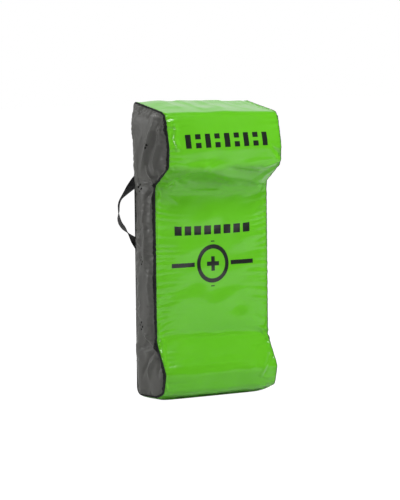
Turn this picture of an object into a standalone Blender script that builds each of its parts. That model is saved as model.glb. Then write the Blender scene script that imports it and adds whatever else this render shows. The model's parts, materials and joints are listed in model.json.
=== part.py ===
"""A rugby hit shield: foam blocks in a zipped cover, with two webbing handles on its back.

Metres, +Z up. The shield stands on its base and its striking face looks along -Y, with +X to the
right of someone who faces it. The origin is the middle of the flat of the base. Depths are measured
forwards from the back of the cover, heights upwards from the flat of the base.
"""

import math

import bmesh
import bpy
from mathutils import Matrix, Vector

# Whole shield
SHIELD_WIDTH = 0.390
SHIELD_HEIGHT = 0.850
HEAD_DEPTH = 0.179
WAIST_DEPTH = 0.104
FOOT_DEPTH = 0.150
ORIGIN_DEPTH = 0.062

# Side outline, along the seam from the back over the top and down the front to the base
WRAP = 0.036
BACK_TOP_RADIUS = 0.012
BACK_BASE_RADIUS = 0.024
TOP_FALL = 0.031
HEAD_LEAN = 0.019
HEAD_TOP_RADIUS = 0.018
HEAD_SEAM_RADIUS = 0.032
HEAD_BELLY_DROP = 0.128
HEAD_BELLY_RADIUS = 0.100
HEAD_CHIN_DROP = 0.183
HEAD_CHIN_SETBACK = 0.004
HEAD_CHIN_RADIUS = 0.017
HEAD_LENGTH = 0.238
NECK_RADIUS = 0.018
WAIST_BOTTOM = 0.164
ANKLE_RADIUS = 0.050
FOOT_HEIGHT = 0.078
FOOT_RADIUS = 0.034
TOE_SETBACK = 0.014
TOE_HEIGHT = 0.022
TOE_RADIUS = 0.020
BASE_TUCK = 0.006
BASE_FLAT_DEPTH = 0.102
BASE_RADIUS = 0.050

# Swell of the cover between its seams
TOP_SWELL = 0.005
FACE_SWELL = 0.009
WAIST_SWELL = 0.005
UNDER_SWELL = 0.008
BASE_SWELL = 0.012
BACK_SWELL = 0.008
SIDE_SWELL = 0.012
NECK_BRIDGE_RADIUS = 0.046
ANKLE_BRIDGE_RADIUS = 0.090
SWELL_POWER = 4.0
SIDE_SWELL_POWER = 2.4
END_SWELL_POWER = 8.0

# Cover materials
COVER_THICKNESS = 0.0012
CLEARANCE = 0.0003
BINDING_DIAMETER = 0.0048

# Foam
FOAM_SIDE_INSET = 0.0045
GLUE_SETBACK = 0.0035
HEAD_BLOCK_LIFT = 0.008
FOOT_BLOCK_DROP = 0.012

# Vent holes in the side panels
VENT_DIAMETER = 0.0050
VENT_RISE = 0.011
VENT_REACH = 0.009
VENT_SHARES = ((0.271, 0.2505), (0.268, 0.4695), (0.237, 0.7140), (0.475, 0.8660))
VENT_CUT_LENGTH = 0.080

# Zip across the lower back
ZIP_HEIGHT = 0.116
ZIP_GAP = 0.0100
ZIP_LENGTH = 0.300
TAPE_THICKNESS = 0.0007
TAPE_LAP = 0.0090
TOOTH_PITCH = 0.0050
TOOTH_ROOT = 0.0018
TOOTH_TIP = 0.0026
TEETH_THICKNESS = 0.0024
STOP_LENGTH = 0.0030
STOP_RISE = 0.0003
SLIDER_LENGTH = 0.0130
SLIDER_WALL = 0.0013
SLIDER_PLATE = 0.0014
EAR_THICKNESS = 0.0012
EAR_GAP = 0.0050
EAR_RADIUS = 0.0020
PIN_RADIUS = 0.0007
PULL_LENGTH = 0.0300
PULL_WIDTH = 0.0085
PULL_THICKNESS = 0.0016
SMALL_BEVEL = 0.0003

# Webbing handles
HANDLE_INSET = 0.026
HANDLE_DROP = 0.316
HANDLE_SPAN = 0.220
HANDLE_REACH = 0.065
HANDLE_FLAT = 0.060
HANDLE_BEND_RADIUS = 0.034
HANDLE_SWING_DEG = 45.0
WEBBING_WIDTH = 0.044
WEBBING_THICKNESS = 0.0022
PINCH_WIDTH = 0.0060
PINCH_FLARE = 0.85
TAB_LENGTH = 0.054
TAB_THICKNESS = 0.0046
BASE_STRIP_THICKNESS = 0.0016

# Fineness of the meshes
ACROSS = 8
ARC_STEPS = (4, 4, 2, 3, 3, 3, 3, 2, 2, 4)
LINE_STEPS = (1, 4, 2, 1, 3, 8, 2, 1, 1, 2, 1)
BACK_ROWS = 9
LOOP_ARC_STEPS = (4, 4)
LOOP_LINE_STEPS = (4, 2, 4)
STRIP_COLUMNS = 4
TUBE_FACES = 8

HALF_WIDTH = SHIELD_WIDTH / 2
WAIST_TOP = SHIELD_HEIGHT - HEAD_LENGTH
HANDLE_HEIGHT = SHIELD_HEIGHT - HANDLE_DROP
SEAM_RADIUS = BINDING_DIAMETER / 2
EDGE_CLEAR = SEAM_RADIUS + CLEARANCE
PANEL_HALF = HALF_WIDTH - EDGE_CLEAR
ALONG_X = Matrix.Rotation(math.pi / 2, 4, "Y")
COLLECTION_NAME = "rugby_hit_shield"

COATED_GREEN = ("coated_green", (0.13, 0.50, 0.045), 0.28)
COATED_GREY = ("coated_grey", (0.105, 0.105, 0.098), 0.72)
BINDING_BLACK = ("binding_black", (0.014, 0.015, 0.014), 0.80)
WEBBING_BLACK = ("webbing_black", (0.018, 0.018, 0.019), 0.85)
FOAM_CREAM = ("foam_cream", (0.62, 0.57, 0.42), 0.95)
ZIP_PLASTIC = ("zip_plastic", (0.020, 0.020, 0.022), 0.45)
ZIP_METAL = ("zip_metal", (0.42, 0.42, 0.43), 0.35)


def clear_scene():
    for item in list(bpy.data.objects):
        bpy.data.objects.remove(item, do_unlink=True)


def new_collection(name):
    made = bpy.data.collections.new(name)
    bpy.context.scene.collection.children.link(made)
    return made


def material(node, finish, metallic=0.0):
    name, colour, roughness = finish
    made = bpy.data.materials.new(f"{name}_{node}")
    made.use_nodes = True
    shader = made.node_tree.nodes["Principled BSDF"]
    shader.inputs["Base Color"].default_value = (*colour, 1)
    shader.inputs["Roughness"].default_value = roughness
    shader.inputs["Metallic"].default_value = metallic
    return made


def add_object(name, data, finish, collection, metallic=0.0):
    made = bpy.data.objects.new(name, data)
    data.materials.append(material(name, finish, metallic))
    collection.objects.link(made)
    return made


def place(x, depth, height):
    """A point of the shield, from its distance across, its depth and its height."""
    return Vector((x, ORIGIN_DEPTH - depth, height))


def left_of(a, b):
    """The unit normal on the left of the way from a to b."""
    along = (b - a).normalized()
    return Vector((-along.y, along.x))


def meet(point, along, other, other_along):
    """Where two lines of the side outline cross."""
    cross = along.x * other_along.y - along.y * other_along.x
    gap = other - point
    return point + along * ((gap.x * other_along.y - gap.y * other_along.x) / cross)


def seam_corners():
    """The corners of the side outline, from the back over the top and down the front to the base.

    Each is (depth, height, radius at the seam, radius in the middle, swell of the stretch after it).
    """
    belly = SHIELD_HEIGHT - HEAD_BELLY_DROP
    chin = SHIELD_HEIGHT - HEAD_CHIN_DROP
    head_front = HEAD_DEPTH - HEAD_LEAN
    chin_front = HEAD_DEPTH - HEAD_CHIN_SETBACK
    toe_front = FOOT_DEPTH - TOE_SETBACK
    face = FACE_SWELL
    return (
        (0, SHIELD_HEIGHT - WRAP, 0, 0, 0),
        (0, SHIELD_HEIGHT, BACK_TOP_RADIUS, BACK_TOP_RADIUS + TOP_SWELL, TOP_SWELL),
        (head_front, SHIELD_HEIGHT - TOP_FALL, HEAD_SEAM_RADIUS, HEAD_TOP_RADIUS + face, face),
        (HEAD_DEPTH, belly, HEAD_BELLY_RADIUS, HEAD_BELLY_RADIUS + face, face),
        (chin_front, chin, HEAD_CHIN_RADIUS, HEAD_CHIN_RADIUS + face, face),
        (WAIST_DEPTH, WAIST_TOP, NECK_RADIUS, NECK_BRIDGE_RADIUS, WAIST_SWELL),
        (WAIST_DEPTH, WAIST_BOTTOM, ANKLE_RADIUS, ANKLE_BRIDGE_RADIUS, face),
        (FOOT_DEPTH, FOOT_HEIGHT, FOOT_RADIUS, FOOT_RADIUS + face, face),
        (toe_front, TOE_HEIGHT, TOE_RADIUS, TOE_RADIUS + face, UNDER_SWELL),
        (BASE_FLAT_DEPTH, BASE_TUCK, BASE_RADIUS, BASE_RADIUS + face, BASE_SWELL),
        (0, BASE_TUCK, BACK_BASE_RADIUS, BACK_BASE_RADIUS + face, 0),
        (0, BASE_TUCK + WRAP, 0, 0, 0),
    )


def seam_outline():
    """The side outline at the seams, as (point, radius)."""
    return [(Vector((depth, height)), radius) for depth, height, radius, _, _ in seam_corners()]


def middle_outline():
    """The outline halfway between the seams: each stretch moved outwards, the hollows bridged."""
    corners = seam_corners()
    points = [Vector(corner[:2]) for corner in corners]
    lines = []
    for start, end, (*_, swell) in zip(points, points[1:], corners):
        lines.append((start + left_of(start, end) * swell, (end - start).normalized()))
    moved = [points[0]]
    for (start, along), (other, other_along) in zip(lines, lines[1:]):
        moved.append(meet(start, along, other, other_along))
    moved.append(points[-1])
    return [(point, middle_radius) for point, (_, _, _, middle_radius, _) in zip(moved, corners)]


def arc_points(before, corner, after, radius, steps):
    """A rounded corner, as steps + 1 points from one tangent point to the other."""
    to_before = (before - corner).normalized()
    to_after = (after - corner).normalized()
    half = to_before.angle(to_after) / 2
    reach = radius / math.tan(half)
    first, last = corner + to_before * reach, corner + to_after * reach
    centre = corner + (to_before + to_after).normalized() * (radius / math.sin(half))
    start, end = first - centre, last - centre
    sweep = start.angle_signed(end)
    turned = []
    for step in range(steps + 1):
        turn = -sweep * step / steps
        turned.append(centre + Matrix.Rotation(turn, 2) @ start)
    return turned


def rounded_path(outline, arc_steps, line_steps):
    """An open path with rounded corners, whose points match those of any path with as many corners."""
    points = [point for point, _ in outline]
    stretches = [[points[0]]]
    for i, steps in enumerate(arc_steps, start=1):
        radius = outline[i][1]
        stretches.append(arc_points(points[i - 1], points[i], points[i + 1], radius, steps))
    stretches.append([points[-1]])
    path = []
    for before, after, steps in zip(stretches, stretches[1:], line_steps):
        path += before[:-1]
        path += [before[-1].lerp(after[0], step / steps) for step in range(steps)]
    return path + stretches[-1]


def inset(points, distance, closed):
    """A path moved to the right of its run by an even distance, mitred at its points."""
    count = len(points)
    moved = []
    for i, point in enumerate(points):
        if closed:
            before, after = points[i - 1], points[(i + 1) % count]
        else:
            before, after = points[max(i - 1, 0)], points[min(i + 1, count - 1)]
        normals = [left_of(a, b) for a, b in ((before, point), (point, after)) if (b - a).length > 0]
        mean = sum(normals, Vector((0, 0))).normalized()
        moved.append(point - mean * (distance / mean.dot(normals[0])))
    return moved


SEAM_PATH = rounded_path(seam_outline(), ARC_STEPS, LINE_STEPS)
MIDDLE_PATH = rounded_path(middle_outline(), ARC_STEPS, LINE_STEPS)


def swell_share(x):
    """How far the cover has swollen at a distance across, from 0 at the seams to 1 in the middle."""
    return 1 - min(abs(x) / PANEL_HALF, 1) ** SWELL_POWER


def strip_section(x):
    """The front strip's outer face at a distance across, pressed flat where it would pass the floor."""
    share = swell_share(x)
    section = [seam.lerp(middle, share) for seam, middle in zip(SEAM_PATH, MIDDLE_PATH)]
    return [Vector((p.x, max(p.y, 0))) for p in section]


def back_swell(x, height):
    """How far the back stands out behind its seams. It lies flat round the zip."""
    low, high = ZIP_HEIGHT + ZIP_GAP, SHIELD_HEIGHT - WRAP
    if not low < height < high:
        return 0
    middle = 2 * (height - low) / (high - low) - 1
    return BACK_SWELL * swell_share(x) * (1 - middle**END_SWELL_POWER)


def mapped_grid(name, columns, rows, point):
    """A grid sheet whose point at shares (u, v) of its two sides lies at point(u, v)."""
    sheet = bmesh.new()
    bmesh.ops.create_grid(sheet, x_segments=columns, y_segments=rows, size=1)
    for vert in sheet.verts:
        column = round((vert.co.x + 1) / 2 * columns)
        row = round((vert.co.y + 1) / 2 * rows)
        vert.co = point(column / columns, row / rows)
    return mesh_from(name, sheet)


def mesh_from(name, shape):
    """The finished mesh of a bmesh, which is freed."""
    data = bpy.data.meshes.new(name)
    shape.to_mesh(data)
    shape.free()
    return data


def add_disc(shape, radius, length, matrix, segments):
    """A cylinder in a bmesh, along the matrix's own Z."""
    bmesh.ops.create_cone(
        shape,
        cap_ends=True,
        segments=segments,
        radius1=radius,
        radius2=radius,
        depth=length,
        matrix=matrix,
    )


def add_block(shape, low, high):
    """A box in a bmesh, between two corners given in any order."""
    size = Vector(abs(b - a) for a, b in zip(low, high))
    block = bmesh.ops.create_cube(shape, size=1)["verts"]
    bmesh.ops.scale(shape, vec=size, verts=block)
    bmesh.ops.translate(shape, vec=(low + high) / 2, verts=block)


def add_boolean(item, operation, shape, name, guides):
    """Cuts a shape out of an object, or joins it on. The shape is only a guide."""
    guide = bpy.data.objects.new(name, mesh_from(name, shape))
    guide.display_type = "WIRE"
    guide.hide_render = True
    guides.objects.link(guide)
    change = item.modifiers.new(name, "BOOLEAN")
    change.operation = operation
    change.use_self = operation == "UNION"
    change.object = guide


def face_towards(data, away):
    """Turns the sheet's faces over where they point against a direction."""
    sheet = bmesh.new()
    sheet.from_mesh(data)
    area_normal = sum((f.normal * f.calc_area() for f in sheet.faces), Vector())
    if area_normal.dot(away) < 0:
        bmesh.ops.reverse_faces(sheet, faces=sheet.faces)
    sheet.to_mesh(data)
    sheet.free()


def thicken(item, thickness, offset=-1):
    wall = item.modifiers.new("wall", "SOLIDIFY")
    wall.thickness = thickness
    wall.offset = offset
    item.data.shade_smooth()


def across_at(u):
    """A distance across the cover, with its columns closer together near the seams."""
    return PANEL_HALF * math.sin((2 * u - 1) * math.pi / 2)


def add_front_panel(collection):
    """One strip of coated fabric from the back edge over the top, down the front and under the base."""
    last = len(SEAM_PATH) - 1

    def point(u, v):
        x = across_at(u)
        section = strip_section(x)[round(v * last)]
        return place(x, section.x, section.y)

    data = mapped_grid("front_panel", ACROSS, last, point)
    face_towards(data, Vector((0, -1, 0)))
    thicken(add_object("front_panel", data, COATED_GREEN, collection), COVER_THICKNESS)


def side_outline():
    """The side panel's four edges inside the binding, each as (depth, height) points."""
    last = len(SEAM_PATH) - 1
    top_steps = ARC_STEPS[0] // 2 + LINE_STEPS[1] + ARC_STEPS[1] // 2
    back_top = LINE_STEPS[0] + ARC_STEPS[0] // 2
    front_top = back_top + top_steps
    back_base = last - LINE_STEPS[-1] - ARC_STEPS[-1] // 2
    front_base = back_base - top_steps
    ring = inset(SEAM_PATH, EDGE_CLEAR, closed=True)
    top = ring[back_top : front_top + 1]
    front = ring[front_top : front_base + 1][::-1]
    base = ring[front_base : back_base + 1][::-1]
    first_free, last_free = last - back_base + 1, len(front) - 1 - back_top
    free = [Vector((EDGE_CLEAR, point.y)) for point in front[first_free:last_free]]
    rear = ring[back_base:] + free + ring[: back_top + 1]
    return top, front, base, rear


def side_patch(u, v, edges):
    """A point of the patch stretched between the four edges, at shares of the depth and height."""
    top, front, base, rear = edges
    column, row = round(u * (len(top) - 1)), round(v * (len(rear) - 1))
    shares = [(edge[column].x - edge[0].x) / (edge[-1].x - edge[0].x) for edge in (base, top)]
    bows = [edge[column].y - edge[0].lerp(edge[-1], s).y for edge, s in zip((base, top), shares)]
    across = rear[row].lerp(front[row], shares[0] + (shares[1] - shares[0]) * v)
    return across + Vector((0, bows[0] + (bows[1] - bows[0]) * v))


def side_swell(u, v, depth):
    round_share = 1 - abs(2 * u - 1) ** SIDE_SWELL_POWER
    end_share = 1 - abs(2 * v - 1) ** END_SWELL_POWER
    return SIDE_SWELL * math.sqrt(depth / HEAD_DEPTH) * round_share * end_share


def vent_centres():
    """The depth and height of each vent: four groups of four, which scale with the shield."""
    for depth_share, height_share in VENT_SHARES:
        depth, height = depth_share * HEAD_DEPTH, height_share * SHIELD_HEIGHT
        for reach, rise in ((0, VENT_RISE), (0, -VENT_RISE), (VENT_REACH, 0), (-VENT_REACH, 0)):
            yield depth + reach, height + rise


def add_side_panel(side, name, collection, guides):
    edges = side_outline()
    columns, rows = len(edges[0]) - 1, len(edges[3]) - 1

    def point(u, v):
        spot = side_patch(u, v, edges)
        row = round(v * rows)
        depth = edges[1][row].x - edges[3][row].x
        return place(side * (HALF_WIDTH + side_swell(u, v, depth)), spot.x, spot.y)

    data = mapped_grid(name, columns, rows, point)
    face_towards(data, Vector((side, 0, 0)))
    panel = add_object(name, data, COATED_GREY, collection)
    thicken(panel, COVER_THICKNESS)
    holes = bmesh.new()
    for depth, height in vent_centres():
        spot = Matrix.Translation(place(side * HALF_WIDTH, depth, height)) @ ALONG_X
        add_disc(holes, VENT_DIAMETER / 2, VENT_CUT_LENGTH, spot, TUBE_FACES)
    add_boolean(panel, "DIFFERENCE", holes, f"{name}_vents", guides)


def add_back_panel(name, low, high, rows, collection):
    """A stretch of the back between two heights."""

    def point(u, v):
        x = across_at(u)
        height = low + (high - low) * v
        return place(x, -back_swell(x, height), height)

    data = mapped_grid(name, ACROSS, rows, point)
    face_towards(data, Vector((0, 1, 0)))
    thicken(add_object(name, data, COATED_GREY, collection), COVER_THICKNESS)


def add_back(collection):
    half_gap = ZIP_GAP / 2
    top = SHIELD_HEIGHT - WRAP - CLEARANCE
    base = BASE_TUCK + WRAP + CLEARANCE
    add_back_panel("back_panel", ZIP_HEIGHT + half_gap, top, BACK_ROWS, collection)
    add_back_panel("base_flap", base, ZIP_HEIGHT - half_gap, 2, collection)


def add_binding(side, name, collection):
    """The binding round a side panel: a closed tube along the seam."""
    curve = bpy.data.curves.new(name, "CURVE")
    curve.dimensions = "3D"
    curve.bevel_depth = SEAM_RADIUS
    curve.bevel_resolution = 2
    spline = curve.splines.new("POLY")
    spline.points.add(len(SEAM_PATH) - 1)
    for spot, seam in zip(spline.points, SEAM_PATH):
        spot.co = (*place(side * HALF_WIDTH, seam.x, seam.y), 1)
    spline.use_cyclic_u = True
    add_object(name, curve, BINDING_BLACK, collection)


def foam_ring(x):
    """The foam's outline at a distance across: the inside of the cover, less a clearance."""
    section = strip_section(x)
    start, end = section[0], section[-1]
    back = [end.lerp(start, step / BACK_ROWS) for step in range(1, BACK_ROWS)]
    return inset(section + back, COVER_THICKNESS + TAPE_THICKNESS + 2 * CLEARANCE, closed=True)


def foam_solid():
    """The whole filling of the cover, as one closed form."""
    half = HALF_WIDTH - FOAM_SIDE_INSET
    spaces = [half * math.sin(math.pi * (column / ACROSS - 1 / 2)) for column in range(ACROSS + 1)]
    rings = [foam_ring(x) for x in spaces]
    around = len(rings[0])

    def point(u, v):
        column = round(u * ACROSS)
        spot = rings[column][round(v * around) % around]
        return place(spaces[column], spot.x, spot.y)

    data = mapped_grid("foam", ACROSS, around, point)
    solid = bmesh.new()
    solid.from_mesh(data)
    bpy.data.meshes.remove(data)
    bmesh.ops.remove_doubles(solid, verts=solid.verts, dist=CLEARANCE / 10)
    ends = [e for e in solid.edges if e.is_boundary]
    bmesh.ops.holes_fill(solid, edges=ends, sides=0)
    bmesh.ops.recalc_face_normals(solid, faces=solid.faces)
    return solid


def add_foam_block(name, planes, collection):
    """Cuts the filling to what lies behind each of the planes, as (point, normal)."""
    solid = foam_solid()
    for point, normal in planes:
        everything = solid.verts[:] + solid.edges[:] + solid.faces[:]
        bmesh.ops.bisect_plane(
            solid, geom=everything, plane_co=point, plane_no=normal, clear_outer=True, dist=CLEARANCE / 10
        )
        open_edges = [e for e in solid.edges if e.is_boundary]
        bmesh.ops.holes_fill(solid, edges=open_edges, sides=0)
    bmesh.ops.recalc_face_normals(solid, faces=solid.faces)
    add_object(name, mesh_from(name, solid), FOAM_CREAM, collection)


def add_foam(collection):
    glue = WAIST_DEPTH - GLUE_SETBACK
    back_face = place(0, glue, 0)
    front_face = place(0, glue + CLEARANCE, 0)
    head_base = place(0, 0, WAIST_TOP + HEAD_BLOCK_LIFT)
    foot_top = place(0, 0, WAIST_BOTTOM - FOOT_BLOCK_DROP)
    forwards, backwards = Vector((0, -1, 0)), Vector((0, 1, 0))
    up, down = Vector((0, 0, 1)), Vector((0, 0, -1))
    add_foam_block("core_foam", [(back_face, forwards)], collection)
    add_foam_block("head_foam", [(front_face, backwards), (head_base, down)], collection)
    add_foam_block("foot_foam", [(front_face, backwards), (foot_top, up)], collection)


def box_mesh(name, low, high, bevel=0.0):
    """A box between two corners, its edges eased."""
    shape = bmesh.new()
    add_block(shape, low, high)
    if bevel:
        bmesh.ops.bevel(
            shape, geom=shape.edges[:], offset=bevel, segments=1, profile=0.5, affect="EDGES", material=-1
        )
    return mesh_from(name, shape)


def tape_depth():
    """The depth of the tapes' outer faces, just inside the back panels."""
    return COVER_THICKNESS + CLEARANCE


def teeth_low():
    """The depth of the teeth's inner faces, just outside the tapes."""
    return tape_depth() - CLEARANCE


def add_zip_tape(name, side, collection):
    near = CLEARANCE / 2
    far = ZIP_GAP / 2 + TAPE_LAP
    heights = sorted((ZIP_HEIGHT + side * near, ZIP_HEIGHT + side * far))
    low = place(-PANEL_HALF, tape_depth() + TAPE_THICKNESS, heights[0])
    high = place(PANEL_HALF, tape_depth(), heights[1])
    add_object(name, box_mesh(name, low, high), WEBBING_BLACK, collection)


def add_zip_teeth(collection):
    """The two rows of teeth in mesh, as one flat notched outline with its thickness."""
    count = round(ZIP_LENGTH / TOOTH_PITCH)
    pitch = ZIP_LENGTH / count
    upper, lower = [], []
    for tooth in range(count):
        start = -ZIP_LENGTH / 2 + tooth * pitch
        for share, height in ((0, TOOTH_ROOT), (0.5, TOOTH_ROOT), (0.5, TOOTH_TIP), (1, TOOTH_TIP)):
            upper.append((start + share * pitch, height))
            lower.append((start + share * pitch, -height))
    curve = bpy.data.curves.new("zip_teeth", "CURVE")
    curve.dimensions = "2D"
    curve.fill_mode = "BOTH"
    curve.extrude = TEETH_THICKNESS / 2
    spline = curve.splines.new("POLY")
    outline = upper + lower[::-1]
    spline.points.add(len(outline) - 1)
    for spot, (x, y) in zip(spline.points, outline):
        spot.co = (x, y, 0, 1)
    spline.use_cyclic_u = True
    teeth = add_object("zip_teeth", curve, ZIP_PLASTIC, collection)
    teeth.location = place(0, teeth_low() - TEETH_THICKNESS / 2, ZIP_HEIGHT)
    teeth.rotation_euler = (math.pi / 2, 0, 0)


def add_zip_stop(name, side, collection):
    inner = ZIP_LENGTH / 2 + CLEARANCE
    xs = sorted((side * inner, side * (inner + STOP_LENGTH)))
    outer_depth = teeth_low() - TEETH_THICKNESS - STOP_RISE
    low = place(xs[0], teeth_low(), ZIP_HEIGHT - TOOTH_TIP)
    high = place(xs[1], outer_depth, ZIP_HEIGHT + TOOTH_TIP)
    data = box_mesh(name, low, high, SMALL_BEVEL)
    add_object(name, data, ZIP_METAL, collection, metallic=1.0)


def slider_x():
    """Where the slider stands with the zip closed."""
    return ZIP_LENGTH / 2 - SLIDER_LENGTH / 2


def plate_depth():
    """The depth of the slider plate's inner face, just outside the teeth and the stops."""
    return teeth_low() - TEETH_THICKNESS - STOP_RISE - CLEARANCE


def pivot_depth():
    return plate_depth() - SLIDER_PLATE - EAR_RADIUS


def ears_shape():
    """The slider's two ears on its plate, with the pull's pin between them."""
    shape = bmesh.new()
    pivot = place(slider_x(), pivot_depth(), ZIP_HEIGHT)
    foot = plate_depth() - SLIDER_PLATE / 2
    for side in (-1, 1):
        middle = ZIP_HEIGHT + side * (EAR_GAP + EAR_THICKNESS) / 2
        centre = Vector((pivot.x, pivot.y, middle))
        add_disc(shape, EAR_RADIUS, EAR_THICKNESS, Matrix.Translation(centre), 2 * TUBE_FACES)
        low = place(slider_x() - EAR_RADIUS, foot, middle - EAR_THICKNESS / 2)
        high = place(slider_x() + EAR_RADIUS, pivot_depth(), middle + EAR_THICKNESS / 2)
        add_block(shape, low, high)
    add_disc(shape, PIN_RADIUS, EAR_GAP + EAR_THICKNESS, Matrix.Translation(pivot), TUBE_FACES)
    return shape


def add_zip_slider(collection, guides):
    """The slider: a plate with two flanges that straddle the teeth, and ears with the pull's pin."""
    channel = TOOTH_TIP + CLEARANCE
    half = channel + SLIDER_WALL
    inner = teeth_low() - CLEARANCE
    low = place(slider_x() - SLIDER_LENGTH / 2, inner, ZIP_HEIGHT - half)
    high = place(slider_x() + SLIDER_LENGTH / 2, plate_depth() - SLIDER_PLATE, ZIP_HEIGHT + half)
    data = box_mesh("zip_slider", low, high, SMALL_BEVEL)
    slider = add_object("zip_slider", data, ZIP_METAL, collection, metallic=1.0)
    groove = bmesh.new()
    low = place(slider_x() - SLIDER_LENGTH, inner + SLIDER_WALL, ZIP_HEIGHT - channel)
    high = place(slider_x() + SLIDER_LENGTH, plate_depth(), ZIP_HEIGHT + channel)
    add_block(groove, low, high)
    add_boolean(slider, "DIFFERENCE", groove, "zip_slider_channel", guides)
    add_boolean(slider, "UNION", ears_shape(), "zip_slider_ears", guides)


def add_zip_pull(collection, guides):
    """The pull: an eye on the slider's pin and a flat tab that lies back along the teeth."""
    pivot = place(slider_x(), pivot_depth(), ZIP_HEIGHT)
    width = EAR_GAP - 2 * CLEARANCE
    eye = bmesh.new()
    add_disc(eye, EAR_RADIUS - CLEARANCE, width, Matrix.Identity(4), 2 * TUBE_FACES)
    data = mesh_from("zip_pull", eye)
    pull = add_object("zip_pull", data, ZIP_METAL, collection, metallic=1.0)
    pull.location = pivot
    past_ears = SLIDER_LENGTH / 2
    parts = (
        (-past_ears, 0, width / 2),
        (-PULL_LENGTH, -past_ears + SMALL_BEVEL, PULL_WIDTH / 2),
    )
    tab = bmesh.new()
    for start, end, half in parts:
        low = pivot + Vector((start, -PULL_THICKNESS / 2, -half))
        high = pivot + Vector((end, PULL_THICKNESS / 2, half))
        add_block(tab, low, high)
    add_boolean(pull, "UNION", tab, "zip_pull_tab", guides)
    bore = bmesh.new()
    bore_radius = PIN_RADIUS + CLEARANCE
    add_disc(bore, bore_radius, 2 * EAR_GAP, Matrix.Translation(pivot), 2 * TUBE_FACES)
    add_boolean(pull, "DIFFERENCE", bore, "zip_pull_bore", guides)


def add_zip(collection, guides):
    add_zip_tape("zip_upper_tape", 1, collection)
    add_zip_tape("zip_lower_tape", -1, collection)
    add_zip_teeth(collection)
    add_zip_stop("zip_closed_stop", 1, collection)
    add_zip_stop("zip_open_stop", -1, collection)
    add_zip_slider(collection, guides)
    add_zip_pull(collection, guides)


def handle_x(side):
    return side * (HALF_WIDTH - HANDLE_INSET)


def tab_lift():
    """How far the tabs' inner faces stand off the back, over the base strip."""
    return BASE_STRIP_THICKNESS + 2 * CLEARANCE


def sewn_strip(name, side, low, high, lift, thickness, collection):
    """A flat length of webbing on the back between two heights, its inner face lifted off the panel."""
    rows = max(2, round((high - low) / WEBBING_WIDTH))

    def point(u, v):
        x = handle_x(side) + (u - 1 / 2) * WEBBING_WIDTH
        height = low + (high - low) * v
        return place(x, -back_swell(x, height) - lift, height)

    data = mapped_grid(name, STRIP_COLUMNS, rows, point)
    face_towards(data, Vector((0, 1, 0)))
    thicken(add_object(name, data, WEBBING_BLACK, collection), thickness, offset=1)


def loop_path():
    """The loop's middle line, as (reach from its pivot line, height from its middle)."""
    end = HANDLE_SPAN / 2 - CLEARANCE - WEBBING_THICKNESS / 2
    outline = (
        (Vector((PINCH_WIDTH / 2, end)), 0),
        (Vector((HANDLE_REACH, HANDLE_FLAT / 2)), HANDLE_BEND_RADIUS),
        (Vector((HANDLE_REACH, -HANDLE_FLAT / 2)), HANDLE_BEND_RADIUS),
        (Vector((PINCH_WIDTH / 2, -end)), 0),
    )
    return rounded_path(outline, LOOP_ARC_STEPS, LOOP_LINE_STEPS)


def pivot_line(side):
    """The point on the line that the loop swings about, at the loop's middle height."""
    x = handle_x(side)
    rise = back_swell(x, HANDLE_HEIGHT) + tab_lift() + TAB_THICKNESS / 2
    return place(x, -rise, HANDLE_HEIGHT)


def add_loop(side, name, collection):
    """The free loop of webbing, drawn together at its ends and hanging outwards from the back."""
    path = loop_path()
    swing = math.radians(side * HANDLE_SWING_DEG)
    outwards = Matrix.Rotation(-swing, 3, "Z") @ Vector((0, 1, 0))
    sideways = Matrix.Rotation(-swing, 3, "Z") @ Vector((1, 0, 0))

    def point(u, v):
        spot = path[round(v * (len(path) - 1))]
        half = min(WEBBING_WIDTH, PINCH_WIDTH + PINCH_FLARE * (spot.x - PINCH_WIDTH / 2)) / 2
        return outwards * spot.x + sideways * ((2 * u - 1) * half) + Vector((0, 0, spot.y))

    data = mapped_grid(name, 2, len(path) - 1, point)
    face_towards(data, outwards)
    loop = add_object(name, data, WEBBING_BLACK, collection)
    loop.location = pivot_line(side)
    thicken(loop, WEBBING_THICKNESS, offset=0)


def add_handle(side, word, collection):
    """A handle: a strip sewn to the back, a tab at each end of it and a loop between the tabs."""
    low, high = HANDLE_HEIGHT - HANDLE_SPAN / 2, HANDLE_HEIGHT + HANDLE_SPAN / 2
    pieces = (
        ("base_strip", low - TAB_LENGTH, high + TAB_LENGTH, CLEARANCE, BASE_STRIP_THICKNESS),
        ("upper_tab", high, high + TAB_LENGTH, tab_lift(), TAB_THICKNESS),
        ("lower_tab", low - TAB_LENGTH, low, tab_lift(), TAB_THICKNESS),
    )
    for piece, start, end, lift, thickness in pieces:
        sewn_strip(f"{word}_handle_{piece}", side, start, end, lift, thickness, collection)
    add_loop(side, f"{word}_handle_loop", collection)


def main():
    clear_scene()
    parts = new_collection(COLLECTION_NAME)
    guides = new_collection("guides")
    add_foam(parts)
    add_front_panel(parts)
    for side, word in ((-1, "left"), (1, "right")):
        add_side_panel(side, f"{word}_side_panel", parts, guides)
        add_binding(side, f"{word}_seam_binding", parts)
        add_handle(side, word, parts)
    add_back(parts)
    add_zip(parts, guides)


main()
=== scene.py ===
"""Dresses the rugby hit shield: its coated cover, seam bindings, webbing handles, zip and foam.

Metres, +Z up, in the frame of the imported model. The striking face looks along -Y, and depths are
measured forwards from the back of the cover.
"""

import json
import logging
import math
from dataclasses import dataclass, replace
from enum import Enum

import bmesh
import bpy
import numpy as np
from mathutils import Matrix, Vector
from mathutils.bvhtree import BVHTree

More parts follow.
